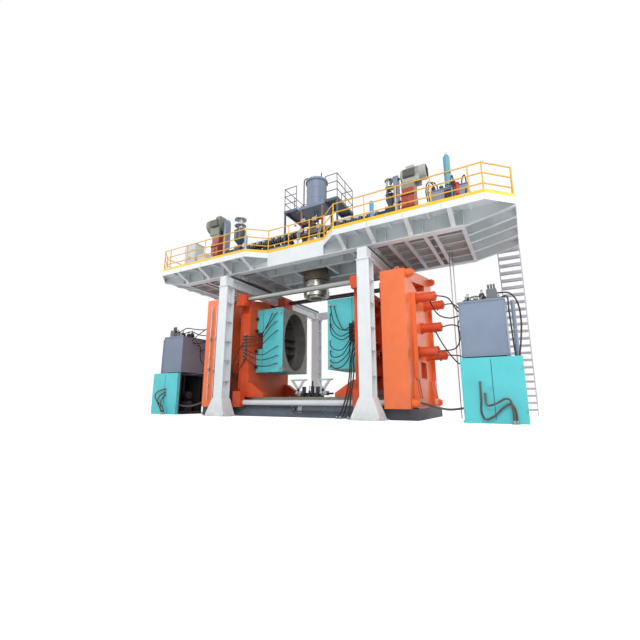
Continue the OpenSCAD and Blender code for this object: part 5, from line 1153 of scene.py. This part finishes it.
class MACHINE_OT_moulds(bpy.types.Operator):
    """Hangs lugs, seams and lifting eyes on the moulds and fits out the open cavity"""

    bl_idname = "machine.moulds"
    bl_label = "Mould fittings"

    def execute(self, context):
        for side, name in SIDES:
            self.lugs(side, name)
            self.cavity(side, name)
        return {"FINISHED"}

    def lugs(self, side, name):
        """Bushes of the parting face, lugs, lifting eyes and the seams of the mould's plates."""
        work = Metalwork()
        for y in (-1.0, 1.0):
            for z in (2.10, 4.94):
                work.turned((side * 1.21, y, z), Vector((-side, 0, 0)),
                            [(0, 0.055), (0.0203, 0.055)], 20, bore=0.03)
        for z in (2.14, 4.80):
            work.turned((side * 1.30, MOULD_FRONT, z), FRONT,
                        [(0, 0.05), (0.03, 0.05), (0.03, 0.034), (0.09, 0.034), (0.09, 0.05),
                         (0.11, 0.05)], 16)
        for x in (side * 1.5, side * 2.3):
            work.turned((x, -0.5, 5.05), UP, [(0, 0.05), (0.02, 0.05), (0.03, 0.03), (0.06, 0.03)], 14)
            work.eye((x, -0.5, 5.11), 0.055, 0.016)
        work.finish("mould_%s_lugs" % name, "steel", "ground_steel", name + "_clamp")
        work = Metalwork()
        for z in (3.12, 3.90):
            work.block((side * 2.36, -1.098, z - 0.012), (side * 2.715, -1.088, z + 0.012))
        work.block((side * 2.36, -1.096, 1.995), (side * 2.375, -1.086, 5.045))
        for z in (1.984, 5.041):
            work.block((side * 1.19, -1.095, z), (side * 1.205, 1.095, z + 0.015))
        work.finish("mould_%s_seams" % name, "rack", "turquoise_paint", name + "_clamp")

    def cavity(self, side, name):
        """Lands and ribs on the floor of the cavity, which form the hollow part's grooves."""
        work = Metalwork()
        deep = 2.088
        middle = 3.49
        for z in (2.96, 3.36, 3.72, 4.36):
            half = 0.82 * (1 - ((z - middle) / 1.30) ** 2) ** 0.5
            rings = []
            for shift, reach, thick in ((0.0, half, 0.065), (0.36, half - 0.02, 0.040),
                                        (0.40, half - 0.06, 0.015)):
                x = side * (deep - shift)
                rings.append([(x, -reach, z - thick), (x, reach, z - thick), (x, reach, z + thick),
                              (x, -reach, z + thick)])
            work.loft(rings)
        for y in (-0.36, 0.0, 0.36):
            high = 1.26 * (1 - (y / 0.84) ** 2) ** 0.5 - 0.1
            work.block((side * (deep + 0.001), y - 0.022, middle - high),
                       (side * (deep - 0.07), y + 0.022, middle + high), 0.014)
        work.finish("cavity_%s_lands" % name, "cast_mould", "ground_steel", name + "_clamp")


class MACHINE_OT_head(bpy.types.Operator):
    """Fits bands, manifolds, valves and pipes on the die head and its cylinder"""

    bl_idname = "machine.head"
    bl_label = "Die head fittings"

    def execute(self, context):
        self.bands()
        self.valves()
        self.cylinder_top()
        return {"FINISHED"}

    def bands(self):
        """Heater bands with their terminals, seams of the die rings, and the extruders' adapters."""
        work = Metalwork()
        for k, z in enumerate((7.62, 7.86, 8.10, 8.34)):
            work.turned((0, 0, z), UP, [(0.004, 0.578), (0.196, 0.578)], 40, bore=0.5605)
            a = radians(-100 + 35 * k)
            x = 0.60 * cos(a)
            y = 0.60 * sin(a)
            work.block((x - 0.05, y - 0.05, z + 0.05), (x + 0.05, y + 0.05, z + 0.15), 0.008)
        for z in (5.665, 5.955, 6.09, 6.31):
            work.turned((0, 0, z), UP, [(0.002, 0.619), (0.011, 0.619)], 48, bore=0.6145)
        work.finish("head_heater_bands", "heat", "head_steel")
        work = Metalwork()
        points = []
        for side, _ in SIDES:
            axis = Vector((side, 0, 0))
            work.turned((side * 0.44, 0, BARREL_Z), axis,
                        [(0, 0.20), (0.05, 0.20), (0.055, 0.13), (0.60, 0.13), (0.605, 0.21), (0.655, 0.21)],
                        28, bore=0.102)
            points += circle((side * 0.49, 0, BARREL_Z), axis, 0.165, 8, 0.8)
            points += circle((side * 1.22, 0, BARREL_Z), axis, 0.19, 12, 0.8)
        work.finish("head_adapters", "steel", "ground_steel")
        bolts("adapter_bolts", points, finish="black")

    def valves(self):
        """Servo valves, cable boxes, pipes and cables in front of the head."""
        blocks = Metalwork()
        coils = Metalwork()
        for x, z in ((-0.36, 9.36), (0.30, 9.30)):
            blocks.block((x - 0.13, -0.78, z), (x + 0.13, -0.50, z + 0.22), 0.012)
            for s in (-1, 1):
                coils.turned((x + s * 0.13, -0.64, z + 0.11), Vector((s, 0, 0)),
                             [(0, 0.05), (0.12, 0.05), (0.125, 0.042), (0.17, 0.042), (0.175, 0.02)], 14)
        for x in (-0.50, 0.48):
            blocks.block((x - 0.09, -0.74, 8.86), (x + 0.09, -0.52, 9.10), 0.012)
        blocks.finish("head_valve_blocks", "steel", "ground_steel")
        coils.finish("head_solenoids", "black", "dark_paint")
        levers = Metalwork()
        for x in (-0.36, 0.30, 0.72, -0.78):
            levers.turned((x, -0.80, 9.32), DOWN, [(0, 0.03), (0.03, 0.03), (0.03, 0.05), (0.06, 0.05)], 12)
            levers.block((x - 0.09, -0.815, 9.25), (x + 0.09, -0.795, 9.275), 0.004)
        levers.finish("head_valve_levers", "red_plastic", "red_paint")
        # Pressure pipes from the valves down to the deck
        pipes = Metalwork()
        for x in (-0.62, -0.54, 0.56, 0.64):
            pipes.pipe([(x, -0.62, 9.0), (x, -0.72, 8.9), (x, -0.86, 8.5), (x, -0.88, 7.9),
                        (x, -0.88, 7.53)], 0.024, 10)
        pipes.finish("head_pipes", "galvanised", "pipe_steel")
        # Cable sheaths of the heater bands, clipped along the head
        cables = Metalwork()
        for k in range(7):
            a = radians(-150 + 22 * k)
            cables.pipe([(r * cos(a), r * sin(a), z) for r, z in (
                (0.58, 7.75 + 0.08 * (k % 3)), (0.68, 7.95), (0.72, 8.3), (0.66, 8.62))], 0.013, 8)
        cables.finish("head_cable_sheaths", "black", "dark_paint")

    def cylinder_top(self):
        """Valves, elbows and the position rod on top of the injection cylinder."""
        work = Metalwork()
        work.block((-0.16, -0.14, 11.95), (0.16, 0.14, 12.07), 0.012)
        work.turned((0.02, 0.0, 12.07), UP, [(0, 0.05), (0.05, 0.05), (0.055, 0.035), (0.12, 0.035)], 14)
        for x, y in ((-0.34, -0.12), (-0.26, 0.18), (0.30, -0.05)):
            work.turned((x, y, 11.95), UP, [(0, 0.06), (0.03, 0.06), (0.035, 0.04), (0.10, 0.04)], 14)
        work.finish("cylinder_top_valves", "galvanised", "pipe_steel")
        work = Metalwork()
        work.pipe([(-0.34, -0.12, 12.03), (-0.36, -0.16, 12.11), (-0.44, -0.22, 12.14),
                   (-0.54, -0.28, 12.10), (-0.58, -0.31, 11.98), (-0.585, -0.32, 11.7),
                   (-0.585, -0.32, 10.45)], 0.030, 10)
        work.pipe([(0.30, -0.05, 12.03), (0.32, -0.10, 12.10), (0.42, -0.24, 12.12), (0.50, -0.40, 12.06),
                   (0.52, -0.44, 11.95)], 0.024, 10)
        work.finish("cylinder_top_pipes", "black", "dark_paint")
        work = Metalwork()
        for z in (10.78, 11.35):
            work.turned((0, 0, z), UP, [(0.003, 0.532), (0.031, 0.532)], 48, bore=0.5245)
        work.finish("cylinder_weld_rings", "inject", "grey_paint")


class MACHINE_OT_drives(bpy.types.Operator):
    """Fits heater bands, blowers, motor fins, gear case covers, guard louvres and hoppers"""

    bl_idname = "machine.drives"
    bl_label = "Extruder drives"

    def execute(self, context):
        # The left extruder is the longer one; feed is its hopper's distance from the head
        for side, name, feed, motor_z, motor_r, fins in ((-1, "left", 5.15, 11.08, 0.425, 44),
                                                         (1, "right", 3.93, 10.70, 0.32, 36)):
            self.barrel(side, name, feed)
            self.motor(side, name, motor_z, motor_r, fins)
            self.gear_case(name)
            self.guard(name, motor_z)
            self.hopper(side, name, feed)
        return {"FINISHED"}

    def barrel(self, side, name, feed):
        """Clamp strips, terminal boxes and blowers of the heater bands."""
        clips = Metalwork()
        boxes = Metalwork()
        blowers = Metalwork()
        x = 1.36
        while x + 0.30 < feed - 0.4:
            for end in (0.0, 0.135, 0.275):
                clips.turned((side * (x + end), 0, BARREL_Z), Vector((side, 0, 0)),
                             [(0.001, 0.201), (0.019, 0.201)], 32, bore=0.194)
            boxes.block((side * (x + 0.08), -0.30, 9.12), (side * (x + 0.22), -0.19, 9.26), 0.010)
            mid = side * (x + 0.15)
            blowers.turned((mid, -0.02, 8.93), DOWN, [(0, 0.09), (0.06, 0.10), (0.12, 0.15), (0.32, 0.15),
                                                      (0.34, 0.13)], 20)
            blowers.block((mid - 0.12, -0.20, 8.68), (mid + 0.12, -0.14, 8.86), 0.01)
            x += 0.42
        clips.finish("barrel_%s_clips" % name, "steel", "ground_steel")
        boxes.finish("barrel_%s_terminals" % name, "cabinet", "cabinet_paint")
        blowers.finish("barrel_%s_blowers" % name, "black", "dark_paint")
        slats("barrel_%s_cover_slots" % name, 9, (side * 1.55, -0.135, 8.60),
              (side * (feed - 2.1) / 9, 0, 0), (0.16, 0.03, 0.022))
        tray = Metalwork()
        far = side * (feed - 0.35)
        tray.block((side * 1.40, -0.28, 8.56), (far, -0.26, 8.64), 0.004)
        tray.block((side * 1.40, -0.28, 8.545), (far, 0.28, 8.56))
        tray.finish("barrel_%s_tray" % name, "guard", "blue_grey_paint")

    def motor(self, side, name, z, r, fins):
        """Fins round the stator, fan cowl, lifting eye and terminal box."""
        low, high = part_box("motor_" + name)
        middle = (low[0] + high[0]) / 2
        y = (low[1] + high[1]) / 2
        key = "motor_" + name
        grow("fin", key + "_fins", {
            "Count": fins, "Radius": r + 0.004, "Fin": (0.028, 0.012, (high[0] - low[0]) * 0.56),
            "Centre": (middle + side * 0.02, y, z), "Steel": FINISH[key]})
        work = Metalwork()
        out = low[0] if side < 0 else high[0]
        cowl = [(-0.30, r + 0.018), (-0.28, r + 0.022), (-0.02, r + 0.022), (0.0, r * 0.9)]
        work.turned((out, y, z), Vector((side, 0, 0)), cowl, 40)
        work.eye((middle, y, z + r + 0.07), 0.06, 0.018)
        work.finish(key + "_cowl", key, "motor_paint")
        work = Metalwork()
        mid = middle - side * 0.16
        front = y - r
        work.block((mid - 0.27, front - 0.06, z - 0.24), (mid + 0.27, front + 0.20, z + 0.16), 0.02)
        work.block((mid - 0.24, front - 0.072, z - 0.21), (mid + 0.24, front - 0.058, z + 0.13), 0.006)
        work.finish(key + "_terminals", "terminal", "motor_paint")
        slats(key + "_grille", 11, (out + side * 0.004, y, z - r * 0.7), (0, 0, r * 0.14),
              (0.012, r * 1.25, 0.014))

    def gear_case(self, name):
        """Covers, bolts and slots of a gear case."""
        low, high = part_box("gearbox_" + name)
        x0 = low[0]
        wide = high[0] - low[0]
        front = -0.38
        work = Metalwork()
        for a, b in ((0.12, 0.44), (0.54, 0.88)):
            for z0, z1 in ((9.06, 9.52), (8.80, 8.98)):
                work.block((x0 + wide * a, front - 0.018, z0), (x0 + wide * b, front + 0.005, z1), 0.008)
        work.turned((x0 + wide / 2, front + 0.004, 9.30), FRONT,
                    [(0, 0.15), (0.035, 0.15), (0.045, 0.12), (0.05, 0.06), (0.09, 0.055)], 28)
        work.finish("gear_case_%s_covers" % name, "red", "red_paint")
        points = []
        for k in range(9):
            u = x0 + wide * (0.08 + 0.105 * k)
            points += [((u, front, 9.58), FRONT, 0.8), ((u, front, 9.01), FRONT, 0.6)]
        bolts("gear_case_%s_bolts" % name, points, "black")
        for row, z, high in ((0, 9.66, 0.10), (1, 8.86, 0.07)):
            slats("gear_case_%s_slots_%d" % (name, row), 7, (x0 + wide * 0.16, front - 0.002, z),
                  (wide * 0.115, 0, 0), (0.05, 0.012, high))

    def guard(self, name, motor_z):
        """Rim and louvres of the belt guard."""
        low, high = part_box("belt_guard_" + name)
        x0, x1, front = low[0], high[0], low[1]
        work = Metalwork()
        for z in (9.45, (9.55 + motor_z) / 2, motor_z + 0.05):
            work.block((x0 - 0.004, front - 0.012, z), (x1 + 0.004, front + 0.012, z + 0.035), 0.003)
        for x in (x0 + 0.02, x1 - 0.02):
            work.bar((x, front - 0.004, 9.42), (x, front - 0.004, motor_z + 0.1), 0.008, 8)
        work.finish("belt_guard_%s_rim" % name, "guard", "blue_grey_paint")
        slats("belt_guard_%s_louvres" % name, 12, ((x0 + x1) / 2, front - 0.006, 9.7), (0, 0, 0.05),
              (0.11, 0.012, 0.018))

    def hopper(self, side, name, feed):
        """Rings, lid clamps and sight glass of a hopper."""
        low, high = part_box("hopper_" + name)
        x = side * feed
        y = (low[1] + high[1]) / 2
        top = high[2]
        r = 0.33 if side < 0 else 0.21
        work = Metalwork()
        for z in (top - 0.06, top - 0.45, top - 0.80):
            work.turned((x, y, z), UP,
                        [(0, r - 0.01), (0.004, r + 0.012), (0.03, r + 0.012), (0.034, r - 0.01)], 32)
        for a in wheel(6):
            u = x + (r + 0.01) * cos(a + 0.4)
            v = y + (r + 0.01) * sin(a + 0.4)
            work.block((u - 0.02, v - 0.02, top - 0.13), (u + 0.02, v + 0.02, top - 0.01), 0.004)
        work.finish("hopper_%s_rings" % name, "galvanised", "dark_paint")
        work = Metalwork()
        work.turned((x, y - r + 0.01, top - 0.62), FRONT,
                    [(0, 0.075), (0.02, 0.075), (0.025, 0.055), (0.03, 0.055)], 20)
        work.finish("hopper_%s_glass" % name, "black", "dark_paint")


class MACHINE_OT_services(bpy.types.Operator):
    """Fits valves, pumps, pipes, gauges and doors on power units, deck tank and cabinets"""

    bl_idname = "machine.services"
    bl_label = "Power units and cabinets"

    def execute(self, context):
        for side, name in SIDES:
            self.tank_rim(side, name)
            self.power_unit(side, name)
        self.deck_hydraulics()
        self.control_cabinet()
        return {"FINISHED"}

    def tank_rim(self, s, name):
        """Angle edges round the front of a power unit's tank."""
        rim = Metalwork()
        rim.block((s * 6.77, -2.09, 3.955), (s * 8.24, -2.05, 4.0), 0.006)
        rim.block((s * 6.77, -2.085, 2.10), (s * 8.24, -2.055, 2.15), 0.006)
        for x in (6.80, 8.19):
            rim.block((s * x, -2.085, 2.12), (s * (x + 0.03), -2.06, 3.96), 0.004)
        rim.finish("tank_%s_rim" % name, "guard", "blue_grey_paint")

    def power_unit(self, s, name):
        dark = Metalwork()
        bright = Metalwork()
        # Valves and small pipes on the tank
        for k, (x, y) in enumerate(((7.10, -1.85), (7.30, -1.30), (7.55, -1.80), (8.05, -1.30),
                                    (6.98, -1.35))):
            high = TANK_TOP + (0.20 + 0.05 * (k % 3))
            dark.block((s * x - 0.08, y - 0.08, TANK_TOP), (s * x + 0.08, y + 0.08, high), 0.010)
            bright.turned((s * x, y, high), UP, [(0, 0.05), (0.04, 0.05), (0.045, 0.03), (0.10, 0.03),
                                                 (0.105, 0.042), (0.14, 0.042)], 12)
            for t in (-1, 1):
                dark.turned((s * x + t * 0.08, y, 4.05), Vector((t, 0, 0)),
                            [(0, 0.035), (0.09, 0.035), (0.10, 0.02)], 12)
        for k in range(5):
            x = s * (7.05 + 0.12 * k)
            bright.pipe([(x + s * dx, y, z) for dx, y, z in (
                (0, -1.97, 3.96), (0, -1.99, 4.10), (0.05, -1.95, 4.18), (0.10, -1.80, 4.19),
                (0.12, -1.62, 4.12), (0.12, -1.60, 3.98))], 0.016, 8)
        # Sheet walls that close the frame below the tank at the back and the outer side
        dark.block((s * 6.80, -0.60, 0.10), (s * 8.21, -0.58, 2.10))
        dark.block((s * 8.17, -2.05, 0.10), (s * 8.19, -0.60, 2.10))
        for k in range(5):
            dark.block((s * (6.95 + 0.25 * k), -0.64, 0.12), (s * (6.99 + 0.25 * k), -0.60, 2.08))
        # Handle, seam strip and hinge pins of the cabinet
        dark.block((s * 7.66 - 0.008, -2.275, 0.12), (s * 7.66 + 0.008, -2.268, 1.98))
        for z in (0.35, 1.70):
            for x in (6.77, 8.54):
                bright.bar((s * x, -2.275, z - 0.06), (s * x, -2.275, z + 0.06), 0.012, 10)
        bright.block((s * 7.60 - 0.012, -2.30, 1.0), (s * 7.60 + 0.012, -2.27, 1.14), 0.004)
        # Pump and its suction pipes in the open frame behind
        dark.turned((s * 7.0, -1.2, 0.95), Vector((s, 0, 0)),
                    [(0, 0.16), (0.03, 0.20), (0.45, 0.20), (0.47, 0.14), (0.62, 0.14)], 20)
        dark.pipe([(s * 7.5, -1.2, 1.05), (s * 7.5, -1.2, 1.6), (s * 7.5, -1.2, 2.12)], 0.06, 12)
        for x in (6.84, 6.98):
            dark.pipe([(s * x, -2.02, 0.1), (s * x, -2.02, 1.2), (s * x, -2.02, 2.12)], 0.035, 12)
            for z in (0.5, 1.4):
                dark.turned((s * x, -2.02, z), UP, [(0, 0.055), (0.06, 0.055)], 10)
        for z in (0.9, 1.9, 2.9):
            bright.block((s * 8.45 - 0.07, -1.97, z), (s * 8.45 + 0.07, -1.83, z + 0.04), 0.004)
        dark.finish("power_unit_%s_valves" % name, "dark", "dark_paint")
        bright.finish("power_unit_%s_fittings" % name, "galvanised", "pipe_steel")

    def deck_hydraulics(self):
        """Valves, hoses, gauge panel and bottle bands of the deck tank."""
        dark = Metalwork()
        bright = Metalwork()
        for x, y, h in ((6.20, -1.75, 0.22), (6.42, -1.30, 0.30), (6.95, -1.75, 0.26), (7.28, -1.25, 0.2),
                        (6.50, -1.78, 0.16)):
            top = DECK_TANK_TOP + h
            dark.block((x - 0.07, y - 0.07, DECK_TANK_TOP), (x + 0.07, y + 0.07, top), 0.01)
            bright.turned((x, y, top), UP, [(0, 0.045), (0.05, 0.045), (0.055, 0.028), (0.13, 0.028)], 12)
        for x, y, shift in ((6.22, -1.78, -0.24), (6.34, -1.70, -0.30), (7.22, -1.60, 0.16),
                            (6.86, -1.80, 0.10)):
            hoop = [(x + share * shift, y - drop, z) for share, drop, z in (
                (0, 0, 8.54), (0, 0, 8.80), (0.3, 0.04, 8.95), (0.7, 0.10, 8.97), (1, 0.16, 8.84),
                (1.1, 0.20, 8.50))]
            dark.pipe(hoop + [(x + shift * 0.9, -1.955, 8.10)], 0.024, 10)
        dark.block((6.62, -1.96, 7.95), (6.86, -1.895, 8.42), 0.010)
        dark.block((6.66, -2.02, 8.05), (6.82, -1.955, 8.20), 0.008)
        for z in (8.78, 9.30):
            dark.turned((6.72, -1.5, z), UP, [(0, 0.12), (0.004, 0.131), (0.04, 0.131), (0.044, 0.12)], 28)
        bright.turned((6.72, -1.5, 10.15), UP, [(0, 0.05), (0.06, 0.05), (0.065, 0.03), (0.12, 0.03)], 14)
        dark.finish("deck_tank_valves", "black", "dark_paint")
        bright.finish("deck_tank_fittings", "galvanised", "pipe_steel")

    def control_cabinet(self):
        """Roof, door panels, handles, screen, buttons and vents of the control cabinet."""
        work = Metalwork()
        dark = Metalwork()
        work.block((-7.54, -1.86, 9.19), (-6.63, -1.18, 9.225), 0.008)
        for x in (-7.47, -7.07):
            work.block((x, -1.832, 7.62), (x + 0.37, -1.818, 9.10), 0.005)
        work.finish("control_cabinet_doors", "cabinet", "cabinet_paint")
        for x in (-7.14, -7.03):
            dark.block((x - 0.012, -1.86, 8.30), (x + 0.012, -1.83, 8.48), 0.004)
        dark.block((-7.36, -1.838, 8.72), (-7.20, -1.830, 8.92), 0.003)
        for k in range(4):
            dark.turned((-6.96 + 0.07 * k, -1.832, 8.84), FRONT,
                        [(0, 0.018), (0.02, 0.018), (0.024, 0.012)], 12)
        dark.finish("control_cabinet_handles", "black", "dark_paint")
        for end, x in (("", -7.285), ("_right", -6.885)):
            slats("control_cabinet_vents" + end, 8, (x, -1.834, 7.78), (0, 0, 0.045), (0.26, 0.008, 0.018))


class MACHINE_OT_walkways(bpy.types.Operator):
    """Fits seams and flanges under the deck, the ladder's bolts and tread edges, and the spreader's
    mechanism
    """

    bl_idname = "machine.walkways"
    bl_label = "Walkways and spreader"

    def execute(self, context):
        self.deck_edge()
        self.ladder()
        self.spreader()
        return {"FINISHED"}

    def deck_edge(self):
        """Seams of the deck's edge, flanges of its brackets and joists."""
        work = Metalwork()
        for x in (-7.4, -6.0, -4.6, -3.2, 3.2, 4.6, 6.0, 7.4):
            for u in (x - 0.05, x + 0.05):
                work.block((u - 0.02, -2.765, 7.52), (u + 0.02, -2.748, 7.61), 0.003)
        for x in (-8.0, -6.6, -5.2, -3.8, 3.8, 5.2, 6.6, 8.0):
            work.block((x - 0.012, -2.757, 7.255), (x + 0.012, -2.749, 7.46), 0.002)
        work.finish("deck_edge_seams", "cabinet", "white_paint")
        bare = Metalwork()
        pale = Metalwork()
        for side, _ in SIDES:
            # Flanges of the tapered brackets, and the stub posts that stand on the long beam
            for x in (2.5, 3.8, 5.3, 6.85):
                u, v = side * x - 0.085, side * x + 0.085
                pale.plate([(u, -2.735, 7.262), (v, -2.735, 7.262), (v, -2.045, 6.938), (u, -2.045, 6.938)],
                           (0, 0.006, -0.018))
                pale.block((u, -2.049, 6.845), (v, -2.031, 7.46))
            # Flanges of the joists between the cross beams
            for y in (-1.3, -0.5, 0.3, 1.1):
                for near, far in ((2.70, 3.40), (3.72, 4.22), (4.38, 4.92), (5.08, 5.67), (5.83, 6.02),
                                  (6.18, 7.07)):
                    bare.block((side * near, y - 0.06, 6.86), (side * far, y + 0.06, 6.875))
                    bare.block((side * near, y - 0.006, 6.875), (side * far, y + 0.006, 7.08))
            for x in (3.15, 4.55, 6.05, 7.5):
                pale.block((side * x - 0.04, -2.72, 7.335), (side * x + 0.04, -2.06, 7.35))
        pale.block((-7.2, -2.052, 6.80), (7.2, -1.70, 6.822))
        bare.finish("deck_joist_flanges", "flange", "white_paint")
        pale.finish("deck_bracket_flanges", "beam_pale", "white_paint")

    def ladder(self):
        """Bolts of the ladder's head, and nosings and heels of its 23 treads."""
        bolts("ladder_bolts", [((x, y, 7.55), UP, 0.6) for x in (8.02, 8.92) for y in (2.16, 4.58)],
              "galvanised")
        step = Vector((0, -2.55 / 24, 7.5 / 24))
        start = Vector((8.47, 4.65, 0)) + step
        for part, shift in (("nosings", -0.10), ("heels", 0.10)):
            slats("ladder_" + part, 23, start + Vector((0, shift, -0.045)), step, (0.84, 0.02, 0.09),
                  "ladder")

    def spreader(self):
        """Cross arms, chain wheels and lift cylinder of the parison spreader."""
        bright = Metalwork()
        dark = Metalwork()
        for s, name in ((-1, "l"), (1, "r")):
            arms = Metalwork()
            for foot, head in ((0.52, 0.98), (0.76, 0.36)):
                arms.plate([(s * (foot - 0.07), -0.556, 0.98), (s * (foot + 0.07), -0.556, 0.98),
                            (s * (head + 0.07), -0.556, 1.59), (s * (head - 0.07), -0.556, 1.59)],
                           (0, 0.035, 0))
            arms.block((s * 0.28, -0.556, 1.575), (s * 1.06, -0.40, 1.605), 0.005)
            arms.finish("spreader_links_" + name, "spreader", "ground_steel", "spreader_" + name)
            for x, z in ((0.20, 0.72), (0.46, 0.80), (0.32, 0.62)):
                dark.turned((s * x, -0.568, z), FRONT,
                            [(0, 0.05), (0.03, 0.05), (0.035, 0.028), (0.05, 0.028)], 14)
            dark.block((s * 0.30, -0.66, 0.55), (s * 0.46, -0.58, 1.02), 0.010)
        dark.bar((0, -0.62, 0.70), (0, -0.62, 1.12), 0.050, 16, 0.008)
        bright.bar((0, -0.62, 1.12), (0, -0.62, 1.34), 0.026, 14)
        dark.block((-0.20, -0.66, 0.50), (0.20, -0.58, 0.74), 0.012)
        bright.finish("spreader_lift_rod", "chrome", "grey_paint")
        dark.finish("spreader_pins", "dark", "dark_paint")


class MACHINE_PT_panel(bpy.types.Panel):
    """Shows the machine's colours, sizes and steps in the sidebar"""

    bl_idname = "MACHINE_PT_panel"
    bl_label = "Moulding machine"
    bl_space_type = "VIEW_3D"
    bl_region_type = "UI"
    bl_category = "Moulding machine"

    def draw(self, context):
        column = self.layout.column()
        for group in (context.scene.machine_colours, context.scene.machine_sizes):
            for name in group.__annotations__:
                column.prop(group, name)
        for step in STEPS:
            column.operator(step.bl_idname)


STEPS = [MACHINE_OT_stage, MACHINE_OT_hoses, MACHINE_OT_paint, MACHINE_OT_bolts, MACHINE_OT_clamp,
         MACHINE_OT_moulds, MACHINE_OT_head, MACHINE_OT_drives, MACHINE_OT_services,
         MACHINE_OT_walkways]
CLASSES = [PaintColours, FittingSizes, MACHINE_PT_panel] + STEPS


def register():
    for one in CLASSES:
        bpy.utils.register_class(one)
    bpy.types.Scene.machine_colours = PointerProperty(type=PaintColours)
    bpy.types.Scene.machine_sizes = PointerProperty(type=FittingSizes)


def unregister():
    del bpy.types.Scene.machine_sizes
    del bpy.types.Scene.machine_colours
    for one in reversed(CLASSES):
        bpy.utils.unregister_class(one)


def main():
    register()
    make_finishes()
    TREES.update(bolt=bolt_tree(), slat=slat_tree(), fin=fin_tree())
    bpy.ops.machine.stage()
    bpy.ops.machine.hoses()
    bpy.ops.machine.paint()
    bpy.ops.machine.bolts()
    bpy.ops.machine.clamp()
    bpy.ops.machine.moulds()
    bpy.ops.machine.head()
    bpy.ops.machine.drives()
    bpy.ops.machine.services()
    bpy.ops.machine.walkways()


if __name__ == "__main__":
    main()
